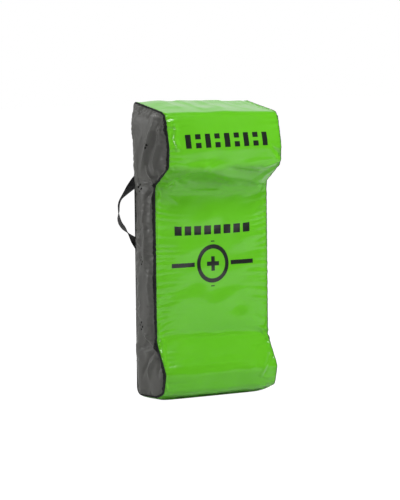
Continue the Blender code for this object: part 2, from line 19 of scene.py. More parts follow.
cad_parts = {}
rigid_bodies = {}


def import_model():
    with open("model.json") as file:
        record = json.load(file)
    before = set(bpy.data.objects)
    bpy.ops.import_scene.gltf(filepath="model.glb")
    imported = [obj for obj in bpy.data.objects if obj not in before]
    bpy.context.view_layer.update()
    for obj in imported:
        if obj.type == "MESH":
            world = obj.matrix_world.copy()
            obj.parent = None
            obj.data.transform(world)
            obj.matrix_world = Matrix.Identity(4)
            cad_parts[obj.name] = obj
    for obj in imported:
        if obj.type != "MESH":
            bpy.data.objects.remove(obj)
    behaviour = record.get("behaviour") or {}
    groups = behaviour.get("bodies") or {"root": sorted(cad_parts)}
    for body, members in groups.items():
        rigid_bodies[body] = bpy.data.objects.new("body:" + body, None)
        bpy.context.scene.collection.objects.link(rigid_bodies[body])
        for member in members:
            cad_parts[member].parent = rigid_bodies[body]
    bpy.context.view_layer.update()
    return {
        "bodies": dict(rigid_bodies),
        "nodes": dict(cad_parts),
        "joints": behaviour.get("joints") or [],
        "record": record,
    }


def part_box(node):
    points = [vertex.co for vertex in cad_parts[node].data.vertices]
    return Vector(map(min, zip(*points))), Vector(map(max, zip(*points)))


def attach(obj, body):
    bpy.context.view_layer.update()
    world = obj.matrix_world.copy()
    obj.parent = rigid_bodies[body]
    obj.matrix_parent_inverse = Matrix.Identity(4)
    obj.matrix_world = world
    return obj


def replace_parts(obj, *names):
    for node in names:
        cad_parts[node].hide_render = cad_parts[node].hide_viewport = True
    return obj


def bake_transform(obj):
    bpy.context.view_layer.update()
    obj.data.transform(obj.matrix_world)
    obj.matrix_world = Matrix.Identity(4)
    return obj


Array = np.ndarray
Socket = bpy.types.NodeSocket
Material = bpy.types.Material
Mesh = bpy.types.Mesh
Piece = bpy.types.Object
Colour = tuple[float, float, float]

FLAT_MAP = "flat"
PER_METRE = 1000
MERGE = 1e-5
RIBBON_FLATS, RIBBON_ROUNDS = 9, 5
WHITE = (1, 1, 1, 1)
LOG = logging.getLogger("hit_shield")


class Side(Enum):
    """The two sides of the shield, as someone who faces it sees them."""

    LEFT = -1
    RIGHT = 1

    @property
    def word(self) -> str:
        """The side's name, as the nodes spell it."""
        return self.name.lower()


class Nodes:
    """A tree of shader nodes, with short ways to add and join them."""

    def __init__(self, tree: bpy.types.NodeTree) -> None:
        """Keeps the tree."""
        self.tree = tree

    def join(self, value: object, socket: Socket) -> None:
        """Feeds a socket from another one, or sets it to a plain value."""
        if isinstance(value, bpy.types.NodeSocket):
            self.tree.links.new(value, socket)
        else:
            socket.default_value = value

    def add(self, kind: str, inputs: dict | None = None, **settings: object) -> bpy.types.Node:
        """Adds a node.

        Args:
            kind: the node's type, without the words that all shader nodes share.
            inputs: what feeds each input, by its name or number.
            settings: the node's own properties.

        Returns:
            The new node.
        """
        node = self.tree.nodes.new(f"ShaderNode{kind}")
        for key, value in settings.items():
            setattr(node, key, value)
        for key, value in (inputs or {}).items():
            self.join(value, node.inputs[key])
        return node

    def maths(self, operation: str, first: object, *others: object) -> Socket:
        """The result of a sum on one value, or on several from left to right."""
        for other in others or (0.0,):
            first = self.add("Math", {0: first, 1: other}, operation=operation).outputs[0]
        return first


class Graph(Nodes):
    """A material's nodes, round a principled shader."""

    def __init__(self, name: str) -> None:
        """Starts the material."""
        self.material = bpy.data.materials.new(name)
        self.material.use_nodes = True
        super().__init__(self.material.node_tree)
        self.shader = self.tree.nodes["Principled BSDF"]

    def spread(self, value: Socket, low: float, high: float, to_low: float, to_high: float) -> Socket:
        """A value moved from one range to another, and kept inside it."""
        return self.add("MapRange", dict(enumerate((value, low, high, to_low, to_high)))).outputs[0]

    def within(self, value: Socket, half: float) -> Socket:
        """1 where a value lies within a half width of zero."""
        return self.maths("LESS_THAN", self.maths("ABSOLUTE", value), half)

    def noise(self, place: Socket, scale: float, detail: float = 3.0) -> Socket:
        """Soft noise with so many waves to the metre."""
        inputs = {"Vector": place, "Scale": scale, "Detail": detail, "Roughness": 0.55}
        return self.add("TexNoise", inputs).outputs[0]

    def mix(self, share: Socket, first: object, second: object) -> Socket:
        """A colour between two others."""
        return self.add("Mix", {0: share, 6: first, 7: second}, data_type="RGBA").outputs[2]

    def object_place(self) -> Socket:
        """The point's place on the object, in metres."""
        return self.add("TexCoord").outputs["Object"]

    def flat_place(self) -> tuple[Socket, Socket]:
        """The point's place on the flat cloth: metres across it and metres along it."""
        split = self.add("SeparateXYZ", {0: self.add("UVMap", uv_map=FLAT_MAP).outputs[0]})
        return split.outputs[0], split.outputs[1]

    def bump(self, height: Socket, distance: float, under: Socket | None = None) -> Socket:
        """A relief of so many metres, on top of another one if there is one."""
        inputs = {"Height": height, "Distance": distance, "Strength": 1.0}
        return self.add("Bump", inputs if under is None else inputs | {"Normal": under}).outputs[0]

    def humps(self, value: Socket) -> Socket:
        """A row of humps, one to each whole step of a value."""
        return self.maths("ABSOLUTE", self.maths("SINE", self.maths("MULTIPLY", value, math.pi)))

    def weave(self, across: Socket, along: Socket, pitch: float) -> Socket:
        """A plain weave's relief: ribs that change places from one thread to the next.

        Args:
            across: the place across the cloth.
            along: the place along the cloth.
            pitch: the distance from thread to thread.

        Returns:
            The height of the threads, from 0 to 1.
        """
        column, row = (self.maths("DIVIDE", value, pitch) for value in (across, along))
        shift = self.maths("MULTIPLY", self.maths("FLOOR", column), 0.5)
        over = self.humps(self.maths("ADD", row, shift))
        return self.maths("MULTIPLY", over, self.maths("SQRT", self.humps(column)))

    def finish(self, **sockets: object) -> Material:
        """Sets the shader's inputs, named with underscores, and returns the material."""
        for name, value in sockets.items():
            self.join(value, self.shader.inputs[name.replace("_", " ")])
        return self.material


@dataclass(frozen=True)
class CoatedFabric:
    """PVC-coated cloth: a woven scrim that shows faintly through its coat."""

    name: str
    colour: Colour
    worn: Colour
    roughness: float
    roughness_spread: float
    coat: float
    scrim_pitch: float
    scrim_depth: float
    ink: Colour = (0.010, 0.012, 0.010)
    clouds: float = 7.0
    patches: float = 38.0
    scuff_scale: float = 60.0
    scuff_stretch: Colour = (3.0, 3.0, 0.7)
    peel_scale: float = 55.0
    peel_depth: float = 0.00002

    def build(self, marks: "tuple[Mark, ...]" = ()) -> Material:
        """Makes the material.

        Args:
            marks: the marks printed on the cloth.

        Returns:
            The material.
        """
        graph = Graph(self.name)
        place = graph.object_place()
        across, along = graph.flat_place()
        cloudy = graph.noise(place, self.clouds)
        patchy = graph.noise(place, self.patches, 4.0)
        stretched = graph.add("Mapping", {0: place, 3: self.scuff_stretch}).outputs[0]
        scuffs = graph.noise(stretched, self.scuff_scale, 6.0)
        faded = graph.spread(cloudy, 0.3, 0.7, 0, 0.45), graph.spread(patchy, 0.35, 0.7, 0, 0.3)
        colour = graph.mix(graph.maths("ADD", *faded), (*self.colour, 1), (*self.worn, 1))
        scuffed = graph.maths("MULTIPLY", graph.spread(scuffs, 0.60, 0.74, 0, 1), self.roughness_spread)
        shine = graph.spread(patchy, 0.3, 0.7, self.roughness - self.roughness_spread, self.roughness)
        rough = graph.maths("ADD", shine, scuffed)
        if marks:
            inked = graph.maths("MAXIMUM", *(mark.mask(graph, across, along) for mark in marks))
            worn_ink = graph.maths("MULTIPLY", inked, graph.spread(scuffs, 0.66, 0.80, 1, 0.85))
            colour = graph.mix(worn_ink, colour, (*self.ink, 1))
            rough = graph.maths("ADD", rough, graph.maths("MULTIPLY", inked, 0.10))
        peel = graph.bump(graph.noise(place, self.peel_scale, 0.0), self.peel_depth)
        scrim = graph.bump(graph.weave(across, along, self.scrim_pitch), self.scrim_depth, peel)
        return graph.finish(
            Base_Color=colour, Roughness=rough, Normal=scrim, Specular_IOR_Level=0.22,
            Coat_Weight=self.coat, Coat_Roughness=0.07, Coat_Normal=peel,
        )


@dataclass(frozen=True)
class WovenTape:
    """Webbing, binding or zip tape: ribs across its length, with a slight sheen, and a painted highlight on
    the rib crests.
    """

    name: str
    colour: Colour
    # lit: a lighter copy of the colour, painted on the rib crests as a highlight
    lit: Colour
    pitch: float
    depth: float
    roughness: float = 0.78
    fuzz_scale: float = 900.0
    dust_scale: float = 26.0

    def build(self) -> Material:
        """Makes the material."""
        graph = Graph(self.name)
        place = graph.object_place()
        ribs = graph.weave(*graph.flat_place(), self.pitch)
        fuzz = graph.bump(graph.noise(place, self.fuzz_scale, 2.0), self.depth / 3)
        # Painted highlight: the rib crests take the lit colour, more strongly in some patches than others.
        rib_light_patches = graph.spread(graph.noise(place, self.dust_scale, 4.0), 0.3, 0.75, 0.35, 1.0)
        colour = graph.mix(graph.maths("MULTIPLY", ribs, rib_light_patches), (*self.colour, 1), (*self.lit, 1))
        return graph.finish(
            Base_Color=colour, Roughness=self.roughness, Normal=graph.bump(ribs, self.depth, fuzz),
            Sheen_Weight=0.06, Specular_IOR_Level=0.3,
        )


@dataclass(frozen=True)
class Solid:
    """A moulded, cast or spun finish that has no weave: zip hardware, thread and foam."""

    name: str
    colour: Colour
    worn: Colour
    roughness: float
    grain: float
    grain_depth: float
    metallic: float = 0.0

    def build(self) -> Material:
        """Makes the material."""
        graph = Graph(self.name)
        grain = graph.noise(graph.object_place(), self.grain, 4.0)
        share = graph.spread(grain, 0.35, 0.7, 0, 1)
        return graph.finish(
            Base_Color=graph.mix(share, (*self.colour, 1), (*self.worn, 1)),
            Roughness=graph.spread(grain, 0.3, 0.7, self.roughness * 0.8, self.roughness * 1.15),
            Normal=graph.bump(grain, self.grain_depth), Metallic=self.metallic,
        )


@dataclass(frozen=True)
class Mark:
    """A printed mark, centred at a place on the flat strip."""

    across: float
    along: float

    def mask(self, graph: Graph, across: Socket, along: Socket) -> Socket:
        """1 where the mark is printed."""
        x, y = graph.maths("SUBTRACT", across, self.across), graph.maths("SUBTRACT", along, self.along)
        return self.shape(graph, x, y)

    def shape(self, graph: Graph, x: Socket, y: Socket) -> Socket:
        """1 inside the mark, as seen from its centre."""
        raise NotImplementedError

    def bar(self, graph: Graph, x: Socket, y: Socket, half_x: float, half_y: float) -> Socket:
        """1 inside a rectangle round the centre."""
        return graph.maths("MULTIPLY", graph.within(x, half_x), graph.within(y, half_y))


@dataclass(frozen=True)
class BlockRow(Mark):
    """A row of upright blocks, every other one split in two."""

    count: int
    pitch: float
    width: float
    height: float
    split: float

    def shape(self, graph: Graph, x: Socket, y: Socket) -> Socket:
        """1 inside the row.

        Args:
            graph: the material's nodes.
            x: the distance across from the centre.
            y: the distance along from the centre.

        Returns:
            The mask.
        """
        steps = graph.maths("ADD", graph.maths("DIVIDE", x, self.pitch), self.count / 2)
        offset = graph.maths("SUBTRACT", graph.maths("FRACT", steps), 0.5)
        inside = graph.within(offset, self.width / self.pitch / 2)
        row = self.bar(graph, x, y, self.count * self.pitch / 2, self.height / 2)
        odd = graph.maths("GREATER_THAN", graph.maths("FRACT", graph.maths("MULTIPLY", steps, 0.5)), 0.5)
        gap = graph.maths("MULTIPLY", odd, graph.within(y, self.split / 2))
        return graph.maths("MULTIPLY", inside, row, graph.maths("SUBTRACT", 1.0, gap))


@dataclass(frozen=True)
class HitMark(Mark):
    """A ring with a plus in it and a bar out to each of its four sides."""

    radius: float
    line: float
    plus: float
    gap: float
    reach_across: float
    reach_along: float

    def cross(self, graph: Graph, x: Socket, y: Socket, reach_x: float, reach_y: float) -> Socket:
        """1 inside two bars that cross at the centre."""
        flat = self.bar(graph, x, y, reach_x, self.line / 2)
        return graph.maths("MAXIMUM", flat, self.bar(graph, x, y, self.line / 2, reach_y))

    def shape(self, graph: Graph, x: Socket, y: Socket) -> Socket:
        """1 inside the mark.

        Args:
            graph: the material's nodes.
            x: the distance across from the centre.
            y: the distance along from the centre.

        Returns:
            The mask.
        """
        squares = (graph.maths("MULTIPLY", value, value) for value in (x, y))
        from_centre = graph.maths("SQRT", graph.maths("ADD", *squares))
        ring = graph.within(graph.maths("SUBTRACT", from_centre, self.radius), self.line / 2)
        plus = self.cross(graph, x, y, self.plus / 2, self.plus / 2)
        outside = graph.maths("GREATER_THAN", from_centre, self.radius + self.gap)
        bars = graph.maths("MULTIPLY", self.cross(graph, x, y, self.reach_across, self.reach_along), outside)
        return graph.maths("MAXIMUM", ring, plus, bars)


COATED_GREEN = CoatedFabric(
    "coated_green", (0.108, 0.470, 0.010), (0.122, 0.490, 0.014), 0.34, 0.06, 0.60, 0.0011, 0.000003
)
COATED_GREY = CoatedFabric(
    "coated_grey", (0.106, 0.106, 0.099), (0.124, 0.124, 0.116), 0.46, 0.10, 0.0, 0.0009, 0.00004
)
# Each tape's second colour is its lit colour, painted on the rib crests as a highlight.
WEBBING = WovenTape("webbing_black", (0.008, 0.008, 0.009), (0.030, 0.030, 0.032), 0.0017, 0.00035)
BINDING = WovenTape("binding_black", (0.004, 0.005, 0.004), (0.012, 0.013, 0.012), 0.0011, 0.00016)
ZIP_TAPE = WovenTape("zip_tape_black", (0.010, 0.010, 0.011), (0.032, 0.032, 0.034), 0.0008, 0.00012)
THREAD_BLACK = Solid("thread_black", (0.020, 0.020, 0.021), (0.045, 0.045, 0.047), 0.6, 2400.0, 0.0001)
THREAD_GREEN = Solid("thread_green", (0.070, 0.300, 0.020), (0.110, 0.420, 0.035), 0.6, 2400.0, 0.0001)
ZIP_METAL = Solid("zip_metal", (0.40, 0.40, 0.41), (0.25, 0.25, 0.26), 0.34, 700.0, 0.00004, 1.0)
ZIP_PLASTIC = Solid("zip_plastic", (0.012, 0.012, 0.013), (0.028, 0.028, 0.030), 0.42, 1300.0, 0.00003)
# The foam's near-black colour is partly a guess at its colour and partly painted shade: it makes the vents
# that show it read as dark holes.
FOAM = Solid("foam", (0.020, 0.018, 0.014), (0.030, 0.027, 0.021), 0.95, 900.0, 0.0006)


@dataclass(frozen=True)
class Corner:
    """A corner of the side outline, and the swell of the stretch after it."""

    depth: float
    height: float
    seam_radius: float
    middle_radius: float
    swell: float


def left_of(a: Vector, b: Vector) -> Vector:
    """The unit normal on the left of the way from a to b."""
    along = (b - a).normalized()
    return Vector((-along.y, along.x))


def meet(point: Vector, along: Vector, other: Vector, other_along: Vector) -> Vector:
    """Where two lines of the side outline cross, each given by a point and a direction."""
    cross = along.x * other_along.y - along.y * other_along.x
    gap = other - point
    return point + along * ((gap.x * other_along.y - gap.y * other_along.x) / cross)


def arc_points(before: Vector, corner: Vector, after: Vector, radius: float, steps: int) -> list[Vector]:
    """A rounded corner.

    Args:
        before: a point on the way to the corner.
        corner: the corner itself.
        after: a point on the way out of it.
        radius: the arc's radius.
        steps: how many steps the arc has.

    Returns:
        The arc's points, from one tangent point to the other.
    """
    to_before = (before - corner).normalized()
    to_after = (after - corner).normalized()
    half = to_before.angle(to_after) / 2
    reach = radius / math.tan(half)
    centre = corner + (to_before + to_after).normalized() * (radius / math.sin(half))
    start = corner + to_before * reach - centre
    sweep = start.angle_signed(corner + to_after * reach - centre)
    return [centre + Matrix.Rotation(-sweep * step / steps, 2) @ start for step in range(steps + 1)]


def rounded_path(points: list[Vector], radii: list[float], arc_steps: int, line_steps: int) -> Array:
    """An open path with rounded corners.

    Args:
        points: the corners, with the two ends.
        radii: the corners' radii; the ends' are not read.
        arc_steps: how many steps each arc has.
        line_steps: how many steps each straight stretch has.

    Returns:
        The path's points, one row each.
    """
    arcs = [arc_points(points[i - 1], points[i], points[i + 1], radii[i], arc_steps)
            for i in range(1, len(points) - 1)]
    stretches = [[points[0]], *arcs, [points[-1]]]
    path = []
    for before, after in zip(stretches, stretches[1:]):
        path += before[:-1]
        path += [before[-1].lerp(after[0], step / line_steps) for step in range(line_steps)]
    return np.array(path + stretches[-1])


def run_lengths(path: Array) -> Array:
    """How far along a path each of its points lies."""
    return np.concatenate([[0.0], np.cumsum(np.linalg.norm(np.diff(path, axis=0), axis=1))])


def pick(path: Array, places: Array, lengths: Array) -> Array:
    """The points of a path at given places along it."""
    return np.stack([np.interp(places, lengths, path[:, axis]) for axis in range(path.shape[1])], axis=-1)


def unit(vectors: Array) -> Array:
    """Vectors brought to a length of 1."""
    return vectors / np.linalg.norm(vectors, axis=-1, keepdims=True)


def left_normals(tangents: Array) -> Array:
    """The normals on the left of the tangents of a path in the side outline's plane."""
    return np.stack([-tangents[:, 1], tangents[:, 0]], axis=1)


def soft_step(value: Array, low: float, high: float) -> Array:
    """0 below low, 1 above high and smooth between them."""
    share = np.clip((value - low) / (high - low), 0, 1)
    return share * share * (3 - 2 * share)


def sheet_of(first: Array, second: Array) -> Array:
    """Two values for each point of a grid, side by side."""
    return np.stack(np.broadcast_arrays(first, second), axis=-1)


class Ripples:
    """Seeded unevenness of cloth, as sums of waves."""

    def __init__(self, seed: int) -> None:
        """Starts a repeatable draw."""
        self.draw = np.random.default_rng(seed)

    def field(self, across: Array, along: Array, pitch: float, waves: int = 14) -> Array:
        """Uneven swells over a surface.

        Args:
            across: each point's place across the surface.
            along: each point's place along it.
            pitch: the usual distance between two swells.
            waves: how many waves are added up.

        Returns:
            The swells, mostly within 1 of zero.
        """
        total = np.zeros_like(across)
        for _ in range(waves):
            turn = self.draw.uniform(0, math.pi)
            rate = 2 * math.pi / (pitch * self.draw.uniform(0.7, 1.5))
            phase = self.draw.uniform(0, 2 * math.pi)
            total += np.cos(rate * (across * math.cos(turn) + along * math.sin(turn)) + phase)
        return total / math.sqrt(waves)

    def line(self, places: Array, pitch: float, waves: int = 9) -> Array:
        """Uneven swells along a line.

        Args:
            places: each point's place along the line.
            pitch: the usual distance between two swells.
            waves: how many waves are added up.

        Returns:
            The swells, mostly within 1 of zero.
        """
        total = np.zeros_like(places)
        for _ in range(waves):
            rate = 2 * math.pi / (pitch * self.draw.uniform(0.65, 1.7))
            total += np.cos(rate * places + self.draw.uniform(0, 2 * math.pi))
        return total / math.sqrt(waves)

    def patches(self, places: Array, pitch: float, least: float, peak: float) -> Array:
        """Shares along a line that rise in patches.

        Args:
            places: each point's place along the line.
            pitch: the usual distance between two patches.
            least: the share between the patches.
            peak: the highest that a swell counts.

        Returns:
            The shares.
        """
        return least + (1 - least) * np.clip(self.line(places, pitch), 0, peak)


@dataclass(frozen=True)
class Fold:
    """A ridge or a crease along a route on its panel, in millimetres, with fades as shares of its length."""

    route: tuple[tuple[int, int], ...]
    rise: float
    width: float
    far_width: float
    fades: tuple[float, float]
    roundness: float = 2.0

    def heights(self, across: Array, along: Array) -> Array:
        """How far the fold lifts the panel.

        Args:
            across: each point's place across the panel, in metres.
            along: each point's place along it, in metres.

        Returns:
            The lift of each point, in metres.
        """
        route = np.array(self.route) / PER_METRE
        lengths = run_lengths(route)
        nearest = np.full(across.shape, np.inf)
        side, share = np.zeros(across.shape), np.zeros(across.shape)
        for start, run, place in zip(route, np.diff(route, axis=0), lengths):
            size = np.linalg.norm(run)
            to_x, to_y = across - start[0], along - start[1]
            t = np.clip((to_x * run[0] + to_y * run[1]) / size**2, 0, 1)
            gap = np.hypot(to_x - t * run[0], to_y - t * run[1])
            closer = gap < nearest
            nearest = np.where(closer, gap, nearest)
            side = np.where(closer, run[0] * to_y - run[1] * to_x, side)
            share = np.where(closer, (place + t * size) / lengths[-1], share)
        width = np.where(side > 0, self.width, self.far_width) / PER_METRE
        start_fade = soft_step(share, 0, self.fades[0]) if self.fades[0] else 1
        end_fade = 1 - soft_step(share, 1 - self.fades[1], 1) if self.fades[1] else 1
        shape = np.exp(-((nearest / width) ** self.roundness))
        return self.rise / PER_METRE * shape * start_fade * end_fade


def to_mesh(shape: bmesh.types.BMesh, name: str, smooth: bool = False) -> Mesh:
    """Turns a finished shape into a mesh."""
    data = bpy.data.meshes.new(name)
    shape.to_mesh(data)
    shape.free()
    if smooth:
        data.shade_smooth()
    return data


def link(name: str, data: bpy.types.ID) -> Piece:
    """Puts data into the scene as a new object."""
    thing = bpy.data.objects.new(name, data)
    bpy.context.scene.collection.objects.link(thing)
    return thing


def grid_mesh(name: str, points: Array, flat: Array, closed: bool = False) -> Mesh:
    """A grid sheet laid over given points.

    Args:
        name: the mesh's name.
        points: rows x columns x 3 places.
        flat: rows x columns x 2 places on the flat cloth, in metres.
        closed: whether the grid closes on itself, so that doubles are merged and open ends filled.

    Returns:
        The mesh, with its flat places as a UV map.
    """
    rows, columns = points.shape[0] - 1, points.shape[1] - 1
    shape = bmesh.new()
    bmesh.ops.create_grid(shape, x_segments=columns, y_segments=rows, size=1)
    layer = shape.loops.layers.uv.new(FLAT_MAP)
    spots = {}
    for vert in shape.verts:
        spots[vert] = (round((vert.co.y + 1) / 2 * rows), round((vert.co.x + 1) / 2 * columns))
    for face in shape.faces:
        for loop in face.loops:
            loop[layer].uv = flat[spots[loop.vert]]
    for vert, spot in spots.items():
        vert.co = points[spot]
    if closed:
        bmesh.ops.remove_doubles(shape, verts=shape.verts, dist=MERGE)
        open_edges = [edge for edge in shape.edges if edge.is_boundary]
        bmesh.ops.holes_fill(shape, edges=open_edges, sides=0)
        bmesh.ops.recalc_face_normals(shape, faces=shape.faces)
    return to_mesh(shape, name, smooth=True)


def grid_normals(points: Array, outwards: Array) -> Array:
    """The unit normals of a grid of points.

    Args:
        points: rows x columns x 3 places.
        outwards: a direction for each point, or one for all, on the side that the normals are to face.

    Returns:
        Rows x columns x 3 normals.
    """
    normals = np.cross(np.gradient(points, axis=0), np.gradient(points, axis=1))
    normals /= np.linalg.norm(normals, axis=2, keepdims=True) + 1e-12
    facing = np.sign((normals * outwards).sum(axis=2, keepdims=True))
    return normals * np.sign(facing.sum() or 1.0)


def sewn_round(held: Array) -> Array:
    """The points of a grid that are held, with all that lie on its four edges."""
    held[:, [0, -1]] = held[[0, -1], :] = True
    return held


@dataclass(frozen=True)
class Settling:
    """A cloth simulation of a sewn panel: cut large, held at its seams and pushed out."""

    stride: int
    extra: float
    pressure: float
    bending: float
    cap: float
    inward_cap: float = 0.0015
    frames: int = 20
    quality: int = 6
    mass: float = 0.25
    stretch: float = 20.0
    shear: float = 10.0

    def cloth(self, piece: Piece) -> None:
        """Adds the cloth modifier."""
        cloth = piece.modifiers.new("cloth", "CLOTH")
        fabric = cloth.settings
        fabric.quality = self.quality
        fabric.mass = self.mass
        fabric.tension_stiffness = fabric.compression_stiffness = self.stretch
        fabric.shear_stiffness = self.shear
        fabric.bending_stiffness = self.bending
        fabric.vertex_group_mass = "sewn"
        fabric.use_pressure = True
        fabric.uniform_pressure_force = self.pressure
        fabric.shrink_min = -self.extra
        fabric.effector_weights.gravity = 0
        cloth.collision_settings.use_collision = False
        cloth.point_cache.frame_start, cloth.point_cache.frame_end = 1, self.frames

    def run(self, points: Array, held: Array) -> Array:
        """Settles a coarse sheet.

        Args:
            points: rows x columns x 3 places.
            held: rows x columns, true where the cloth is sewn down.

        Returns:
            The places after the last frame.
        """
        data = grid_mesh("settling_sheet", points, points[..., :2])
        piece = link("settling_sheet", data)
        sewn = piece.vertex_groups.new(name="sewn")
        sewn.add([int(i) for i in np.flatnonzero(held.ravel())], 1.0, "REPLACE")
        self.cloth(piece)
        scene = bpy.context.scene
        for frame in range(1, self.frames + 1):
            scene.frame_set(frame)
        shape = piece.evaluated_get(bpy.context.evaluated_depsgraph_get()).to_mesh()
        settled = np.empty(len(shape.vertices) * 3)
        shape.vertices.foreach_get("co", settled)
        scene.frame_set(1)
        bpy.data.objects.remove(piece)
        bpy.data.meshes.remove(data)
        return settled.reshape(points.shape)

    def shift(self, points: Array, normals: Array, held: Array) -> Array:
        """How far each point moves while the cloth settles.

        Args:
            points: rows x columns x 3 places.
            normals: the unit normals there, outwards.
            held: rows x columns, true where the cloth is sewn down.

        Returns:
            Rows x columns x 3 shifts, none past the caps.
        """
        lines = [np.arange(count) for count in points.shape[:2]]
        spots = [np.unique(np.append(line[:: self.stride], line[-1])) for line in lines]
        coarse = points[np.ix_(*spots)]
        moved = self.run(coarse, held[np.ix_(*spots)]) - coarse
        tall = np.stack([pick(moved[:, i], lines[0], spots[0]) for i in range(len(spots[1]))], axis=1)
        full = np.stack([pick(row, lines[1], spots[1]) for row in tall])
        for axis, inner in enumerate(((slice(1, -1),), (slice(None), slice(1, -1)))):
            eased = (np.roll(full, 1, axis=axis) + 2 * full + np.roll(full, -1, axis=axis)) / 4
            full[inner] = eased[inner]
        size = np.linalg.norm(full, axis=2, keepdims=True)
        full = full * np.minimum(1, self.cap / np.maximum(size, 1e-9))
        outward = (full * normals).sum(axis=2, keepdims=True)
        return full + normals * np.maximum(-self.inward_cap - outward, 0)


def face_out(data: Mesh, away: Vector) -> None:
    """Turns an open sheet's faces over where they point against a direction."""
    shape = bmesh.new()
    shape.from_mesh(data)
    if sum((f.normal * f.calc_area() for f in shape.faces), Vector()).dot(away) < 0:
        bmesh.ops.reverse_faces(shape, faces=shape.faces)
    shape.to_mesh(data)
    shape.free()


def add_piece(data: Mesh, material: Material, body: str = "cover") -> Piece:
    """Links a finished mesh as a piece of the object.

    Args:
        data: the mesh, in place.
        material: its finish.
        body: the body that it rides on, or nothing for a piece that is blended between two.

    Returns:
        The piece.
    """
    data.materials.append(material)
    piece = link(data.name, data)
    if body:
        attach(piece, body)
    return piece


def add_cloth(data: Mesh, away: tuple, material: Material, thickness: float) -> Piece:
    """Links an open sheet as a piece of the object.

    Args:
        data: the sheet, which is the cloth's outer face.
        away: the direction that it faces.
        material: its finish.
        thickness: the wall that it gets, inwards.

    Returns:
        The piece.
    """
    face_out(data, Vector(away))
    piece = add_piece(data, material)
    wall = piece.modifiers.new("wall", "SOLIDIFY")
    wall.thickness, wall.offset = thickness, -1.0
    return piece


class Drape:
    """A surface that small pieces are laid on."""

    def __init__(self, data: Mesh) -> None:
        """Gathers the surface's faces."""
        points = [vert.co.copy() for vert in data.vertices]
        self.tree = BVHTree.FromPolygons(points, [tuple(face.vertices) for face in data.polygons])

    def on(self, start: Vector, way: Vector) -> tuple[Vector, Vector] | None:
        """Where a ray meets the surface, with the normal there turned against the ray."""
        spot, normal, _, _ = self.tree.ray_cast(start, way)
        return None if spot is None else (spot, normal if normal.dot(way) < 0 else -normal)


